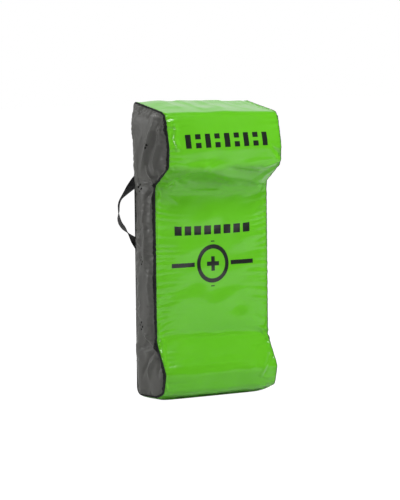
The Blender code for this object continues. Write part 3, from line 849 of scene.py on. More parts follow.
@dataclass(frozen=True)
class CoverForm:
    """The form of the whole cover: the sizes of the construction's own side outline."""

    width: float = 0.390
    height: float = 0.850
    origin_depth: float = 0.062
    head_depth: float = 0.179
    waist_depth: float = 0.104
    foot_depth: float = 0.150
    wrap: float = 0.036
    back_top_radius: float = 0.012
    back_base_radius: float = 0.024
    top_fall: float = 0.031
    head_lean: float = 0.019
    head_top_radius: float = 0.018
    head_seam_radius: float = 0.032
    belly_drop: float = 0.128
    belly_radius: float = 0.100
    chin_drop: float = 0.183
    chin_setback: float = 0.004
    chin_radius: float = 0.017
    head_length: float = 0.238
    neck_radius: float = 0.018
    neck_bridge: float = 0.046
    waist_bottom: float = 0.164
    ankle_radius: float = 0.050
    ankle_bridge: float = 0.090
    foot_height: float = 0.078
    foot_radius: float = 0.034
    toe_setback: float = 0.014
    toe_height: float = 0.022
    toe_radius: float = 0.020
    base_tuck: float = 0.009
    base_flat_depth: float = 0.102
    base_radius: float = 0.050
    top_swell: float = 0.005
    face_swell: float = 0.009
    waist_swell: float = 0.005
    under_swell: float = 0.008
    base_swell: float = 0.012
    back_swell: float = 0.008
    side_swell: float = 0.012
    swell_power: float = 4.0
    side_power: float = 2.4
    end_power: float = 8.0
    edge_clear: float = 0.0027
    zip_height: float = 0.116
    zip_gap: float = 0.010
    thickness: float = 0.0012
    seam_pull: float = 0.0011
    top_lean: float = 0.0035
    strip_clear: float = 0.0010
    seam_seed: int = 60
    pull_pitch: float = 0.021
    pull_sizes: tuple[float, float, float] = (0.13, 0.35, 1.5)
    base_fade: tuple[float, float] = (0.012, 0.05)
    back_fade: tuple[float, float] = (0.004, 0.03)
    top_fade: tuple[float, float] = (0.060, 0.020)
    lean_fade: tuple[float, float] = (-0.004, 0.012)
    top_calm: float = 0.7
    arc_steps: int = 32
    line_steps: int = 160

    @property
    def strip_half(self) -> float:
        """Half the width of the front strip's cloth, which hides its binding from the front."""
        return self.width / 2 - self.strip_clear

    @property
    def half(self) -> float:
        """Half the width of the back, between its bindings."""
        return self.width / 2 - self.edge_clear

    @property
    def waist_top(self) -> float:
        """The height at which the head begins."""
        return self.height - self.head_length

    def place(self, x: Array | float, depth: Array | float, height: Array | float) -> Array:
        """Points of the shield, from their distances across, depths and heights."""
        return np.stack(np.broadcast_arrays(x, self.origin_depth - np.asarray(depth), height), axis=-1)

    def corners(self) -> list[Corner]:
        """The corners of the side outline, from the back over the top and down the front to the base."""
        top, face = self.height, self.face_swell
        back_top, back_base = self.back_top_radius, self.back_base_radius
        head, chin = self.head_depth - self.head_lean, self.head_depth - self.chin_setback
        toe = self.foot_depth - self.toe_setback
        return [
            Corner(0, top - self.wrap, 0, 0, 0),
            Corner(0, top, back_top, back_top + self.top_swell, self.top_swell),
            Corner(head, top - self.top_fall, self.head_seam_radius, self.head_top_radius + face, face),
            Corner(self.head_depth, top - self.belly_drop, self.belly_radius, self.belly_radius + face, face),
            Corner(chin, top - self.chin_drop, self.chin_radius, self.chin_radius + face, face),
            Corner(self.waist_depth, self.waist_top, self.neck_radius, self.neck_bridge, self.waist_swell),
            Corner(self.waist_depth, self.waist_bottom, self.ankle_radius, self.ankle_bridge, face),
            Corner(self.foot_depth, self.foot_height, self.foot_radius, self.foot_radius + face, face),
            Corner(toe, self.toe_height, self.toe_radius, self.toe_radius + face, self.under_swell),
            Corner(self.base_flat_depth, self.base_tuck, self.base_radius, self.base_radius + face,
                   self.base_swell),
            Corner(0, self.base_tuck, back_base, back_base + face, 0),
            Corner(0, self.base_tuck + self.wrap, 0, 0, 0),
        ]

    def wander(self, seam: Array, side: Side) -> Array:
        """Pulls the seam in and out, as its stitching does, and leans its top to the right.

        Args:
            seam: the seam's points, as depths and heights.
            side: the side of the seam, as each wanders in its own way.

        Returns:
            The points in their new places.
        """
        ripples = Ripples(self.seam_seed + side.value)
        lengths = run_lengths(seam)
        pull = ripples.line(lengths, self.pull_pitch) * ripples.patches(lengths, *self.pull_sizes)
        free = soft_step(seam[:, 1], *self.base_fade) * soft_step(seam[:, 0], *self.back_fade)
        on_top = soft_step(seam[:, 1], *(self.height - drop for drop in self.top_fade))
        outwards = left_normals(unit(np.gradient(seam, axis=0)))
        moved = seam + outwards * (self.seam_pull * pull * free * (1 - self.top_calm * on_top))[:, None]
        moved[:, 1] -= side.value * self.top_lean * on_top * soft_step(seam[:, 0], *self.lean_fade)
        return moved

    def outlines(self, pitch: float, side: Side) -> tuple[Array, Array, Array]:
        """The side outline at a seam and in the middle, matched row by row.

        Args:
            pitch: the spacing of the rows, in metres.
            side: the side of the seam.

        Returns:
            The seam's points, the middle's points and how far along the middle each lies.
        """
        corners = self.corners()
        points = [Vector((c.depth, c.height)) for c in corners]
        lines = [(start + left_of(start, end) * corner.swell, (end - start).normalized())
                 for start, end, corner in zip(points, points[1:], corners)]
        moved = [points[0], *(meet(*line, *other) for line, other in zip(lines, lines[1:])), points[-1]]
        steps = self.arc_steps, self.line_steps
        seam = rounded_path(points, [c.seam_radius for c in corners], *steps)
        middle = rounded_path(moved, [c.middle_radius for c in corners], *steps)
        lengths = run_lengths(middle)
        places = np.linspace(0, lengths[-1], round(lengths[-1] / pitch) + 1)
        return pick(self.wander(seam, side), places, lengths), pick(middle, places, lengths), places

    def swell_share(self, x: Array) -> Array:
        """How far the cover has swollen at a distance across, from 0 at the seams to 1 midway."""
        return 1 - np.minimum(np.abs(x) / self.strip_half, 1) ** self.swell_power

    def back_rise(self, x: Array, height: Array) -> Array:
        """How far the back stands out behind its seams. It lies flat round the zip."""
        low, high = self.zip_height + self.zip_gap, self.height - self.wrap
        middle = 2 * (np.clip(height, low, high) - low) / (high - low) - 1
        return self.back_swell * self.swell_share(x) * (1 - middle**self.end_power)


# Distances across the front and heights: the head's left edge, its right edge, and the folds that
# sweep under it from the waist's corners; then the waist's rolled left edge and its soft creases;
# then the crease at the ankle, the ridge along the foot, and the foot's own folds
STRIP_FOLDS = (
    Fold(((-172, 792), (-166, 775), (-173, 756), (-174, 743), (-168, 730), (-174, 712)), 3, 8, 5,
         (0.15, 0.15)),
    Fold(((150, 728), (166, 713), (192, 690)), -3, 6, 3.5, (0.5, 0)),
    Fold(((138, 722), (155, 706), (185, 676)), 2.2, 6, 8, (0.5, 0.1)),
    Fold(((-192, 606), (-152, 637), (-121, 655), (-82, 661), (-31, 647), (45, 625), (136, 602)), 6, 15, 9,
         (0.1, 0.35)),
    Fold(((-76, 665), (33, 640), (137, 621), (192, 609)), 4.2, 12, 7, (0.4, 0.05)),
    Fold(((-20, 662), (40, 653), (107, 642), (165, 640)), -4.6, 7, 12, (0.3, 0.3)),
    Fold(((-100, 655), (-63, 676), (-30, 692)), 1.8, 5, 8, (0.3, 0.6)),
    Fold(((-75, 650), (-40, 668), (-10, 682)), 1.4, 5, 7, (0.3, 0.6)),
    Fold(((-130, 630), (-50, 622), (30, 608)), -3.6, 16, 12, (0.3, 0.3)),
    Fold(((120, 650), (160, 664), (192, 674)), 2.6, 6, 6, (0.4, 0)),
    Fold(((140, 632), (170, 650), (192, 662)), -2, 5, 5, (0.4, 0)),
    Fold(((-192, 600), (-120, 600), (-12, 595), (138, 598), (192, 606)), 2, 5, 9, (0.1, 0.1)),
    Fold(((-184, 600), (-183, 560), (-186, 500), (-187, 380)), 1.6, 4.5, 4.5, (0.1, 0.4)),
    Fold(((-160, 590), (-102, 552)), 1, 9, 6, (0.4, 0.5)),
    Fold(((178, 595), (176, 480), (180, 300)), 1.2, 7, 5, (0.2, 0.4)),
    Fold(((-192, 146), (-157, 166), (-121, 172), (-74, 175), (55, 175), (192, 172)), -4, 28, 11,
         (0.34, 0.1)),
    Fold(((-180, 104), (-161, 95), (-134, 96), (-83, 97), (65, 99), (144, 102)), 3, 14, 7, (0.18, 0.4)),
    Fold(((128, 42), (149, 78), (172, 102), (190, 120)), 3, 4, 6, (0.3, 0.1)),
    Fold(((140, 38), (163, 74), (190, 104)), -2.2, 4.5, 4.5, (0.3, 0)),
    Fold(((158, 68), (172, 84), (190, 98)), 2.2, 3.5, 4.5, (0.3, 0.1)),
    Fold(((110, 139), (152, 140), (192, 150)), -2.4, 7, 5, (0.5, 0)),
    Fold(((120, 86), (88, 70)), 1.2, 6, 6, (0.3, 0.4)),
)
# Distances across the top and depths, from back to front. The last two lean it down to the right
TOP_FOLDS = (
    Fold(((-60, -10), (-48, 70), (-42, 160)), 2.2, 10, 26, (0.2, 0.3)),
    Fold(((-120, 0), (-104, 80), (-110, 150)), 1.2, 11, 16, (0.3, 0.4)),
    Fold(((10, 0), (22, 80), (40, 150)), 1.6, 16, 10, (0.2, 0.4)),
    Fold(((85, -10), (100, 70), (128, 158)), 1.4, 16, 8, (0.2, 0.3)),
    Fold(((150, 10), (160, 80), (180, 150)), -0.9, 12, 8, (0.2, 0.2)),
    Fold(((110, -10), (115, 170)), -4, 60, 60, (0, 0)),
    Fold(((-130, -10), (-130, 120)), 3.5, 45, 45, (0, 0.3)),
)
# Depths and heights: from the head's front top corner down and back, out of the corner between the
# head and the waist, down the waist, and out of the corner between the waist and the foot
GUSSET_FOLDS = (
    Fold(((148, 818), (128, 801), (123, 773), (104, 733), (83, 694), (46, 631)), 5.2, 8, 9, (0.15, 0.4)),
    Fold(((150, 800), (142, 773), (145, 733), (130, 694), (126, 674), (120, 640)), 5, 5.5, 7,
         (0.15, 0.3)),
    Fold(((160, 795), (158, 772), (155, 752)), 1.8, 5, 6, (0.2, 0.4)),
    Fold(((85, 785), (72, 750), (52, 710), (40, 672)), 1.6, 8, 12, (0.3, 0.4)),
    Fold(((70, 760), (50, 700), (40, 640), (46, 560)), -1.2, 7, 5, (0.3, 0.4)),
    Fold(((104, 612), (105, 637), (88, 664), (80, 690)), 3.6, 4.5, 6, (0, 0.5)),
    Fold(((102, 610), (122, 645), (134, 676)), -2.6, 4, 5, (0, 0.5)),
    Fold(((103, 612), (86, 622), (60, 620), (40, 612)), 2.6, 4.5, 6, (0, 0.5)),
    Fold(((102, 606), (84, 592), (66, 570)), -2.4, 4.5, 5, (0, 0.5)),
    Fold(((100, 600), (90, 560), (86, 500)), 2.4, 5, 6, (0, 0.5)),
    Fold(((70, 600), (60, 520), (68, 440), (60, 360)), 2.2, 6, 9, (0.3, 0.3)),
    Fold(((34, 560), (44, 460), (36, 340)), -1.8, 6, 8, (0.3, 0.3)),
    Fold(((84, 420), (78, 330), (86, 240)), 1.6, 6, 6, (0.3, 0.3)),
    Fold(((104, 150), (86, 168), (62, 190), (48, 215)), 3.4, 4.5, 7, (0, 0.5)),
    Fold(((104, 156), (94, 190), (86, 240)), -2.4, 4.5, 5, (0, 0.5)),
    Fold(((106, 148), (100, 119), (83, 87), (75, 50)), 3.4, 4.5, 7, (0, 0.4)),
    Fold(((104, 146), (77, 117), (55, 85), (44, 50)), -2.8, 6, 4.5, (0, 0.4)),
    Fold(((110, 142), (122, 108), (120, 66)), -2.2, 4.5, 6, (0, 0.4)),
    Fold(((100, 148), (70, 138), (45, 136)), 2, 5, 6, (0, 0.5)),
)
# The line along which the head's gusset stands out furthest, as heights and depths
GUSSET_CREST = (
    (0.631, 0.654, 0.674, 0.694, 0.713, 0.733, 0.753, 0.773, 0.801),
    (0.046, 0.059, 0.067, 0.083, 0.093, 0.103, 0.115, 0.123, 0.128),
)


class FrontStrip:
    """The green strip: from the back edge over the top, down the front and under the base."""

    SETTLING = Settling(stride=3, extra=0.012, pressure=3.0, bending=0.5, cap=0.005)
    HELD_HEIGHT = 0.004
    BASE_POWER = 10.0
    ROW_PITCH = 0.0025
    COLUMNS = 136
    EVEN_SHARE = 0.62
    SEED = 7
    UNDULATION, UNDULATION_PITCH, UNDULATION_FADE = 0.0009, 0.085, 0.03
    PUCKER, PUCKER_PITCH, PUCKER_REACH, PUCKER_FADE = 0.0006, 0.017, 0.020, 0.004
    PUCKER_SIZES = (0.16, 0.45, 1.6)
    SKEW, SKEW_PITCH = 0.45, 0.12
    SEAM_FADE = (-0.001, 0.005)
    FLOOR_FADE = (0.0005, 0.012)
    FRONT_FADE = (0.55, 0.8)
    FRONT_TOP, FRONT_TOP_FADE = 0.985, 0.01
    TOP_FADE = (0.95, 0.975)
    FACE_DEPTH, FACE_TOP = 0.7, 0.98
    FILL = 0.9

    def __init__(self, form: CoverForm) -> None:
        """Works out the strip's rows and columns."""
        self.form = form
        self.seams = {}
        for side in Side:
            self.seams[side], self.middle, self.places = form.outlines(self.ROW_PITCH, side)
        even = np.linspace(-1, 1, self.COLUMNS + 1)
        across = self.EVEN_SHARE * even + (1 - self.EVEN_SHARE) * np.sin(even * math.pi / 2)
        self.across = form.strip_half * across

    def along_at(self, height: float) -> float:
        """How far along the strip its front face passes a height."""
        depths, heights = self.middle.T
        form = self.form
        front = (depths > form.waist_depth * self.FACE_DEPTH) & (heights < form.height * self.FACE_TOP)
        row = np.argmin(np.where(front, np.abs(heights - height), np.inf))
        return float(self.places[row])

    def sheet(self) -> Array:
        """The strip's outer face before its folds, rows x columns x 3."""
        share = self.form.swell_share(self.across)[None, :]
        steep = 1 - (np.abs(self.across) / self.form.strip_half)[None, :] ** self.BASE_POWER
        under = 1 - soft_step(self.middle[:, 1:], 0.0, self.form.toe_height)
        share = (share * (1 - under) + steep * under)[..., None]
        on_left = (self.across < 0)[None, :, None]
        seam = np.where(on_left, self.seams[Side.LEFT][:, None], self.seams[Side.RIGHT][:, None])
        section = seam * (1 - share) + self.middle[:, None] * share
        section[..., 1] = np.maximum(section[..., 1], 0)
        return self.form.place(self.across[None, :], section[..., 0], section[..., 1])

    def lift(self, points: Array) -> Array:
        """How far the folds and puckers lift each point."""
        form, ripples = self.form, Ripples(self.SEED)
        across, along = np.broadcast_arrays(self.across[None, :], self.places[:, None])
        height, depth = points[..., 2], form.origin_depth - points[..., 1]
        to_seam = form.strip_half - np.abs(across)
        total = self.UNDULATION * ripples.field(across, along, self.UNDULATION_PITCH)
        total *= soft_step(to_seam, 0, self.UNDULATION_FADE)
        for side in Side:
            skewed = along + self.SKEW * to_seam * ripples.line(along, self.SKEW_PITCH)
            size = ripples.patches(along, *self.PUCKER_SIZES)
            pucker = ripples.line(skewed, self.PUCKER_PITCH) * size * np.exp(-to_seam / self.PUCKER_REACH)
            on_side = (np.sign(across) == side.value) * soft_step(to_seam, 0, self.PUCKER_FADE)
            total += self.PUCKER * pucker * on_side
        front = soft_step(depth, *(form.waist_depth * share for share in self.FRONT_FADE))
        front = front * soft_step(form.height * self.FRONT_TOP - height, 0, self.FRONT_TOP_FADE)
        on_top = soft_step(height, *(form.height * share for share in self.TOP_FADE))
        total += sum(fold.heights(across, height) for fold in STRIP_FOLDS) * front
        total += sum(fold.heights(across, depth) for fold in TOP_FOLDS) * on_top
        return total * soft_step(height, *self.FLOOR_FADE) * soft_step(to_seam, *self.SEAM_FADE)

    def build(self, material: Material) -> None:
        """Makes the strip and puts it in the place of its plain solid."""
        points = self.sheet()
        self.plain = Drape(grid_mesh("plain_strip", points, points[..., :2]))
        inside = self.form.place(0.0, self.form.waist_depth / 2, self.form.height / 2)
        normals = grid_normals(points, points - inside)
        held = sewn_round(points[..., 2] < self.HELD_HEIGHT)
        settled = points + self.SETTLING.shift(points, normals, held)
        points = settled + normals * self.lift(points)[..., None]
        points[..., 2] = np.maximum(points[..., 2], 0)
        data = grid_mesh("front_strip", points, sheet_of(self.across[None, :], self.places[:, None]))
        piece = add_cloth(data, (0, -1, 0), material, self.form.thickness)
        self.surface = Drape(data)
        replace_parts(piece, "front_panel")


class SidePanel:
    """A grey gusset: a patch between the seam's four edges, swollen and drawn into folds."""

    SETTLING = Settling(stride=3, extra=0.030, pressure=2.0, bending=0.2, cap=0.004, inward_cap=0.003)
    ROWS = 390
    COLUMNS = 90
    RING_PITCH = 0.0015
    CORNER_SHARE = 0.3
    REAR_POINTS = 60
    BOW_POWER = 4
    SEED = 20
    UNDULATION, UNDULATION_PITCH, UNDULATION_STRETCH = 0.0013, 0.045, 0.5
    PUCKER, PUCKER_PITCH, PUCKER_REACH = 0.0012, 0.016, 0.022
    PUCKER_SIZES = (0.15, 0.4, 1.6)
    REAR_PUCKER, REAR_PITCH = 0.6, 0.022
    SKEW, SKEW_PITCH = 0.8, 0.11
    SHIFT, SHIFT_PITCH = 0.004, 0.09
    SEAM_FADE = (-0.001, 0.008)
    FLOOR_FADE = (0.008, 0.03)
    HEAD_EXTRA = 0.0165
    HEAD_FADE, HEAD_RISE, HEAD_LEAST = (-0.005, 0.07), (0.03, 0.15), 0.6
    WAIST_EXTRA = 0.005
    WAIST_FADE, WAIST_REACH = (-0.25, -0.12), 0.5
    EXTRA_SHARE = 0.08
    EXTRA_FADE = (0.70, 0.95)
    EXTRA_POWER = 26.0
    CREST_START, CREST_FALL = -0.0026, 0.026
    FOLD_DEPTH = 2.1
    FOLD_WIDTH = 1.25
    ROUNDNESS = 1.4
    DRAWN_LOW, DRAWN_RISE = 0.455, 0.03
    DRAWN_HIGH, DRAWN_FALL = 0.605, (-0.02, 0.01)
    DRAWN_SHARE, DRAWN_REACH = 0.9, (0.10, 0.45)
    HEAD_FLAT = 0.8
    VENT_RADIUS = 0.0032
    VENT_SIDES, VENT_CUT = 20, 0.08
    VENT_SPREAD = ((0, 0.010), (0, -0.010), (0.006, -0.002), (-0.006, 0.002))
    VENT_SHARES = ((0.271, 0.2505), (0.268, 0.4695), (0.237, 0.7140), (0.575, 0.8640))
    FILL = 0.8

    def __init__(self, form: CoverForm, side: Side) -> None:
        """Finds the panel's four edges inside the binding."""
        self.form, self.side = form, side
        seam, _, _ = form.outlines(self.RING_PITCH, side)
        ring = seam - left_normals(unit(np.gradient(seam, axis=0))) * form.edge_clear
        low = ring[:, 1] < form.height / 2
        top_end = form.edge_clear + self.CORNER_SHARE * form.back_top_radius
        base_end = self.CORNER_SHARE * form.back_base_radius
        at_top = int(np.argmin(np.abs(ring[:, 0] - top_end) + low))
        at_base = int(np.argmin(np.abs(ring[:, 0] - base_end) + ~low))
        head_corner = form.head_depth - form.head_lean, form.height - form.top_fall
        toe_corner = form.foot_depth - form.toe_setback, form.toe_height
        spots = head_corner, toe_corner
        head, toe = (int(np.argmin(np.linalg.norm(ring - spot, axis=1))) for spot in spots)
        self.top = ring[at_top : head + 1]
        self.front = ring[head : toe + 1][::-1]
        self.base = ring[toe : at_base + 1][::-1]
        free = np.linspace(form.back_base_radius, form.height - 2 * form.back_top_radius, self.REAR_POINTS)
        inside = sheet_of(form.edge_clear, free)
        rear = np.concatenate([ring[at_base:], inside, ring[: at_top + 1]])
        self.rear = rear[np.argsort(rear[:, 1], kind="stable")]

    def edge(self, path: Array, shares: Array) -> Array:
        """The points of an edge at shares of its length."""
        lengths = run_lengths(path)
        return pick(path, shares * lengths[-1], lengths)

    def patch(self) -> tuple[Array, Array]:
        """The panel's places as depths and heights."""
        u, v = np.linspace(0, 1, self.COLUMNS + 1), np.linspace(0, 1, self.ROWS + 1)
        base, top, front = self.edge(self.base, u), self.edge(self.top, u), self.edge(self.front, v)
        heights = (front[:, 1] - front[0, 1]) / (front[-1, 1] - front[0, 1])
        rear_heights = base[0, 1] + (top[0, 1] - base[0, 1]) * heights
        rear = np.stack([np.interp(rear_heights, self.rear[:, 1], self.rear[:, 0]), rear_heights], axis=1)
        shares, bows = [], []
        for edge in (base, top):
            share = (edge[:, 0] - edge[0, 0]) / (edge[-1, 0] - edge[0, 0])
            shares.append(share)
            bows.append(edge[:, 1] - (edge[0, 1] + (edge[-1, 1] - edge[0, 1]) * share))
        v = v[:, None]
        share = shares[0] * (1 - v) + shares[1] * v
        bow = bows[0] * (1 - v) ** self.BOW_POWER + bows[1] * v**self.BOW_POWER
        spots = rear[:, None] * (1 - share[..., None]) + front[:, None] * share[..., None]
        return spots[..., 0], spots[..., 1] + bow

    def by_handle(self, height: Array | float) -> Array:
        """1 beside the handle, where the cloth is drawn in, and 0 above and below it."""
        above = soft_step(height, *(self.DRAWN_HIGH + reach for reach in self.DRAWN_FALL))
        return soft_step(height, self.DRAWN_LOW, self.DRAWN_LOW + self.DRAWN_RISE) * (1 - above)

    def swell(self, depth: Array, height: Array) -> Array:
        """How far the panel stands out from its seam before its folds.

        Args:
            depth: the depth of each point of the patch.
            height: the height of each point.

        Returns:
            The distance of each point from the seam's plane.
        """
        form = self.form
        u = np.linspace(0, 1, self.COLUMNS + 1)[None, :]
        v = np.linspace(0, 1, self.ROWS + 1)[:, None]
        room = np.maximum(depth[:, -1:] - depth[:, :1], 0)
        end_share = 1 - np.abs(2 * v - 1) ** form.end_power
        head, rise, waist = ([form.waist_top + reach for reach in fade]
                             for fade in (self.HEAD_FADE, self.HEAD_RISE, self.WAIST_FADE))
        at_head = soft_step(height, *head)
        at_head = at_head * (self.HEAD_LEAST + (1 - self.HEAD_LEAST) * soft_step(height, *rise))
        past_crest = depth - np.interp(height, *GUSSET_CREST)
        behind = at_head * (1 - soft_step(past_crest, self.CREST_START, self.CREST_FALL))
        below = (1 - soft_step(height, *waist)) * (1 - soft_step(u, 2 * self.EXTRA_SHARE, self.WAIST_REACH))
        extra = self.HEAD_EXTRA * behind + self.WAIST_EXTRA * below
        extra = extra * np.sqrt(np.minimum(u / self.EXTRA_SHARE, 1)) * (1 - soft_step(u, *self.EXTRA_FADE))
        near_ends = 1 - np.abs(2 * v - 1) ** self.EXTRA_POWER
        drawn = self.DRAWN_SHARE * self.by_handle(height) * (1 - soft_step(u, *self.DRAWN_REACH))
        round_share = 1 - np.abs(2 * u - 1) ** form.side_power
        round_share = round_share * (1 - drawn) * (1 - self.HEAD_FLAT * behind)
        return form.side_swell * np.sqrt(room / form.head_depth) * round_share * end_share + extra * near_ends

    def lift(self, depth: Array, height: Array) -> Array:
        """How far the folds and puckers lift each point.

        Args:
            depth: the depth of each point of the patch.
            height: the height of each point.

        Returns:
            The lift of each point.
        """
        ripples = Ripples(self.SEED + self.side.value)
        to_front, to_rear = depth[:, -1:] - depth, depth - depth[:, :1]
        to_seam = np.minimum(to_front, to_rear)
        stretched = height * self.UNDULATION_STRETCH
        total = self.UNDULATION * ripples.field(depth, stretched, self.UNDULATION_PITCH)
        size = ripples.patches(height, *self.PUCKER_SIZES)
        skewed = height + self.SKEW * to_seam * ripples.line(height, self.SKEW_PITCH)
        pucker = ripples.line(skewed, self.PUCKER_PITCH) * size * np.exp(-to_front / self.PUCKER_REACH)
        rear = ripples.line(skewed, self.REAR_PITCH) * np.exp(-to_rear / self.PUCKER_REACH)
        total += self.PUCKER * (pucker + self.REAR_PUCKER * rear)
        if self.side is Side.RIGHT:
            depth = depth + self.SHIFT * ripples.field(depth, height, self.SHIFT_PITCH)
        for fold in GUSSET_FOLDS:
            widths = {name: getattr(fold, name) * self.FOLD_WIDTH for name in ("width", "far_width")}
            fold = replace(fold, roundness=self.ROUNDNESS, **widths)
            total += self.FOLD_DEPTH * fold.heights(depth, height)
        return total * soft_step(to_seam, *self.SEAM_FADE) * soft_step(height, *self.FLOOR_FADE)

    def build(self, material: Material) -> Piece:
        """Makes the panel and puts it in the place of its plain solid."""
        sign, word = self.side.value, self.side.word
        depth, height = self.patch()
        plain = self.form.place(sign * (self.form.width / 2 + self.swell(depth, height)), depth, height)
        normals = grid_normals(plain, (sign, 0, 0))
        settled = plain + self.SETTLING.shift(plain, normals, sewn_round(np.zeros(depth.shape, dtype=bool)))
        points = settled + normals * self.lift(depth, height)[..., None]
        data = grid_mesh(f"{word}_gusset", points, sheet_of(depth, height))
        piece = add_cloth(data, (sign, 0, 0), material, self.form.thickness)
        self.surface = Drape(data)
        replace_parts(piece, f"{word}_side_panel")
        return piece

    def vent_places(self) -> list[tuple[float, float]]:
        """The centres of the vents, as depths and heights."""
        places = []
        for depth_share, height_share in self.VENT_SHARES:
            depth, height = depth_share * self.form.head_depth, height_share * self.form.height
            places += [(depth + reach, height + rise) for reach, rise in self.VENT_SPREAD]
        return places

    def punch(self, piece: Piece) -> None:
        """Cuts the vents through the panel."""
        cutter = bmesh.new()
        along_x = Matrix.Rotation(math.pi / 2, 4, "Y")
        for depth, height in self.vent_places():
            spot = Vector(self.form.place(self.side.value * self.form.width / 2, depth, height))
            bmesh.ops.create_cone(
                cutter, cap_ends=True, segments=self.VENT_SIDES, radius1=self.VENT_RADIUS,
                radius2=self.VENT_RADIUS, depth=self.VENT_CUT, matrix=Matrix.Translation(spot) @ along_x,
            )
        data = to_mesh(cutter, "vent_cutter")
        tool = link("vent_cutter", data)
        cut = piece.modifiers.new("vents", "BOOLEAN")
        cut.operation, cut.object = "DIFFERENCE", tool
        bpy.context.view_layer.update()
        made = bpy.data.meshes.new_from_object(piece.evaluated_get(bpy.context.evaluated_depsgraph_get()))
        piece.modifiers.clear()
        old, piece.data = piece.data, made
        bpy.data.objects.remove(tool)
        for unused in (old, data):
            bpy.data.meshes.remove(unused)


@dataclass
class BackPanel:
    """A grey stretch of the back between two heights."""

    form: CoverForm
    node: str
    low: float
    high: float
    seed: int
    pitch: float = 0.0045
    least_rows: int = 6
    undulation: float = 0.0009
    undulation_pitch: float = 0.075
    side_pucker: float = 0.0008
    side_pitch: float = 0.018
    side_reach: float = 0.02
    end_pucker: float = 0.0007
    end_pitch: float = 0.02
    end_reach: float = 0.016
    skew: float = 0.5
    skew_pitch: float = 0.1
    edge_fade: tuple[float, float] = (-0.0005, 0.010)
    tape_reach: float = 0.018
    fill: float = 0.8
    settling: Settling = Settling(
        stride=2, extra=0.015, pressure=1.0, bending=0.5, cap=0.0016, inward_cap=0.001
    )

    def lift(self, across: Array, height: Array, to_seam: Array, to_end: Array) -> Array:
        """How far the folds and puckers lift each point.

        Args:
            across: the distance of each point across the back.
            height: its height.
            to_seam: its distance from the nearer seam.
            to_end: its distance from the nearer end.

        Returns:
            The lift of each point.
        """
        ripples = Ripples(self.seed)
        rise = self.undulation * ripples.field(across, height, self.undulation_pitch)
        skewed = height + self.skew * to_seam * ripples.line(height, self.skew_pitch)
        rise += self.side_pucker * ripples.line(skewed, self.side_pitch) * np.exp(-to_seam / self.side_reach)
        rise += self.end_pucker * ripples.line(across, self.end_pitch) * np.exp(-to_end / self.end_reach)
        return rise * soft_step(np.minimum(to_seam, to_end), *self.edge_fade)

    def build(self, material: Material) -> None:
        """Makes the stretch and puts it in the place of its plain solid."""
        form = self.form
        columns = round(2 * form.half / self.pitch)
        rows = max(self.least_rows, round((self.high - self.low) / self.pitch))
        across = np.linspace(-form.half, form.half, columns + 1)[None, :]
        across, height = np.broadcast_arrays(across, np.linspace(self.low, self.high, rows + 1)[:, None])
        to_seam = form.half - np.abs(across)
        to_end = np.minimum(height - self.low, self.high - height)
        plain = form.place(across, -form.back_rise(across, height), height)
        held = np.minimum(to_seam, to_end) < form.edge_clear
        normals = grid_normals(plain, (0, 1, 0))
        offset = self.settling.shift(plain, normals, held)
        offset = offset + normals * self.lift(across, height, to_seam, to_end)[..., None]
        sunk = np.maximum(-(offset * normals).sum(axis=2), 0)
        by_zip = 1 - soft_step(np.abs(height - form.zip_height), self.tape_reach, 2 * self.tape_reach)
        points = plain + offset + normals * (sunk * by_zip)[..., None]
        data = grid_mesh(f"{self.node}_cloth", points, sheet_of(across, height))
        piece = add_cloth(data, (0, 1, 0), material, form.thickness)
        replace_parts(piece, self.node)


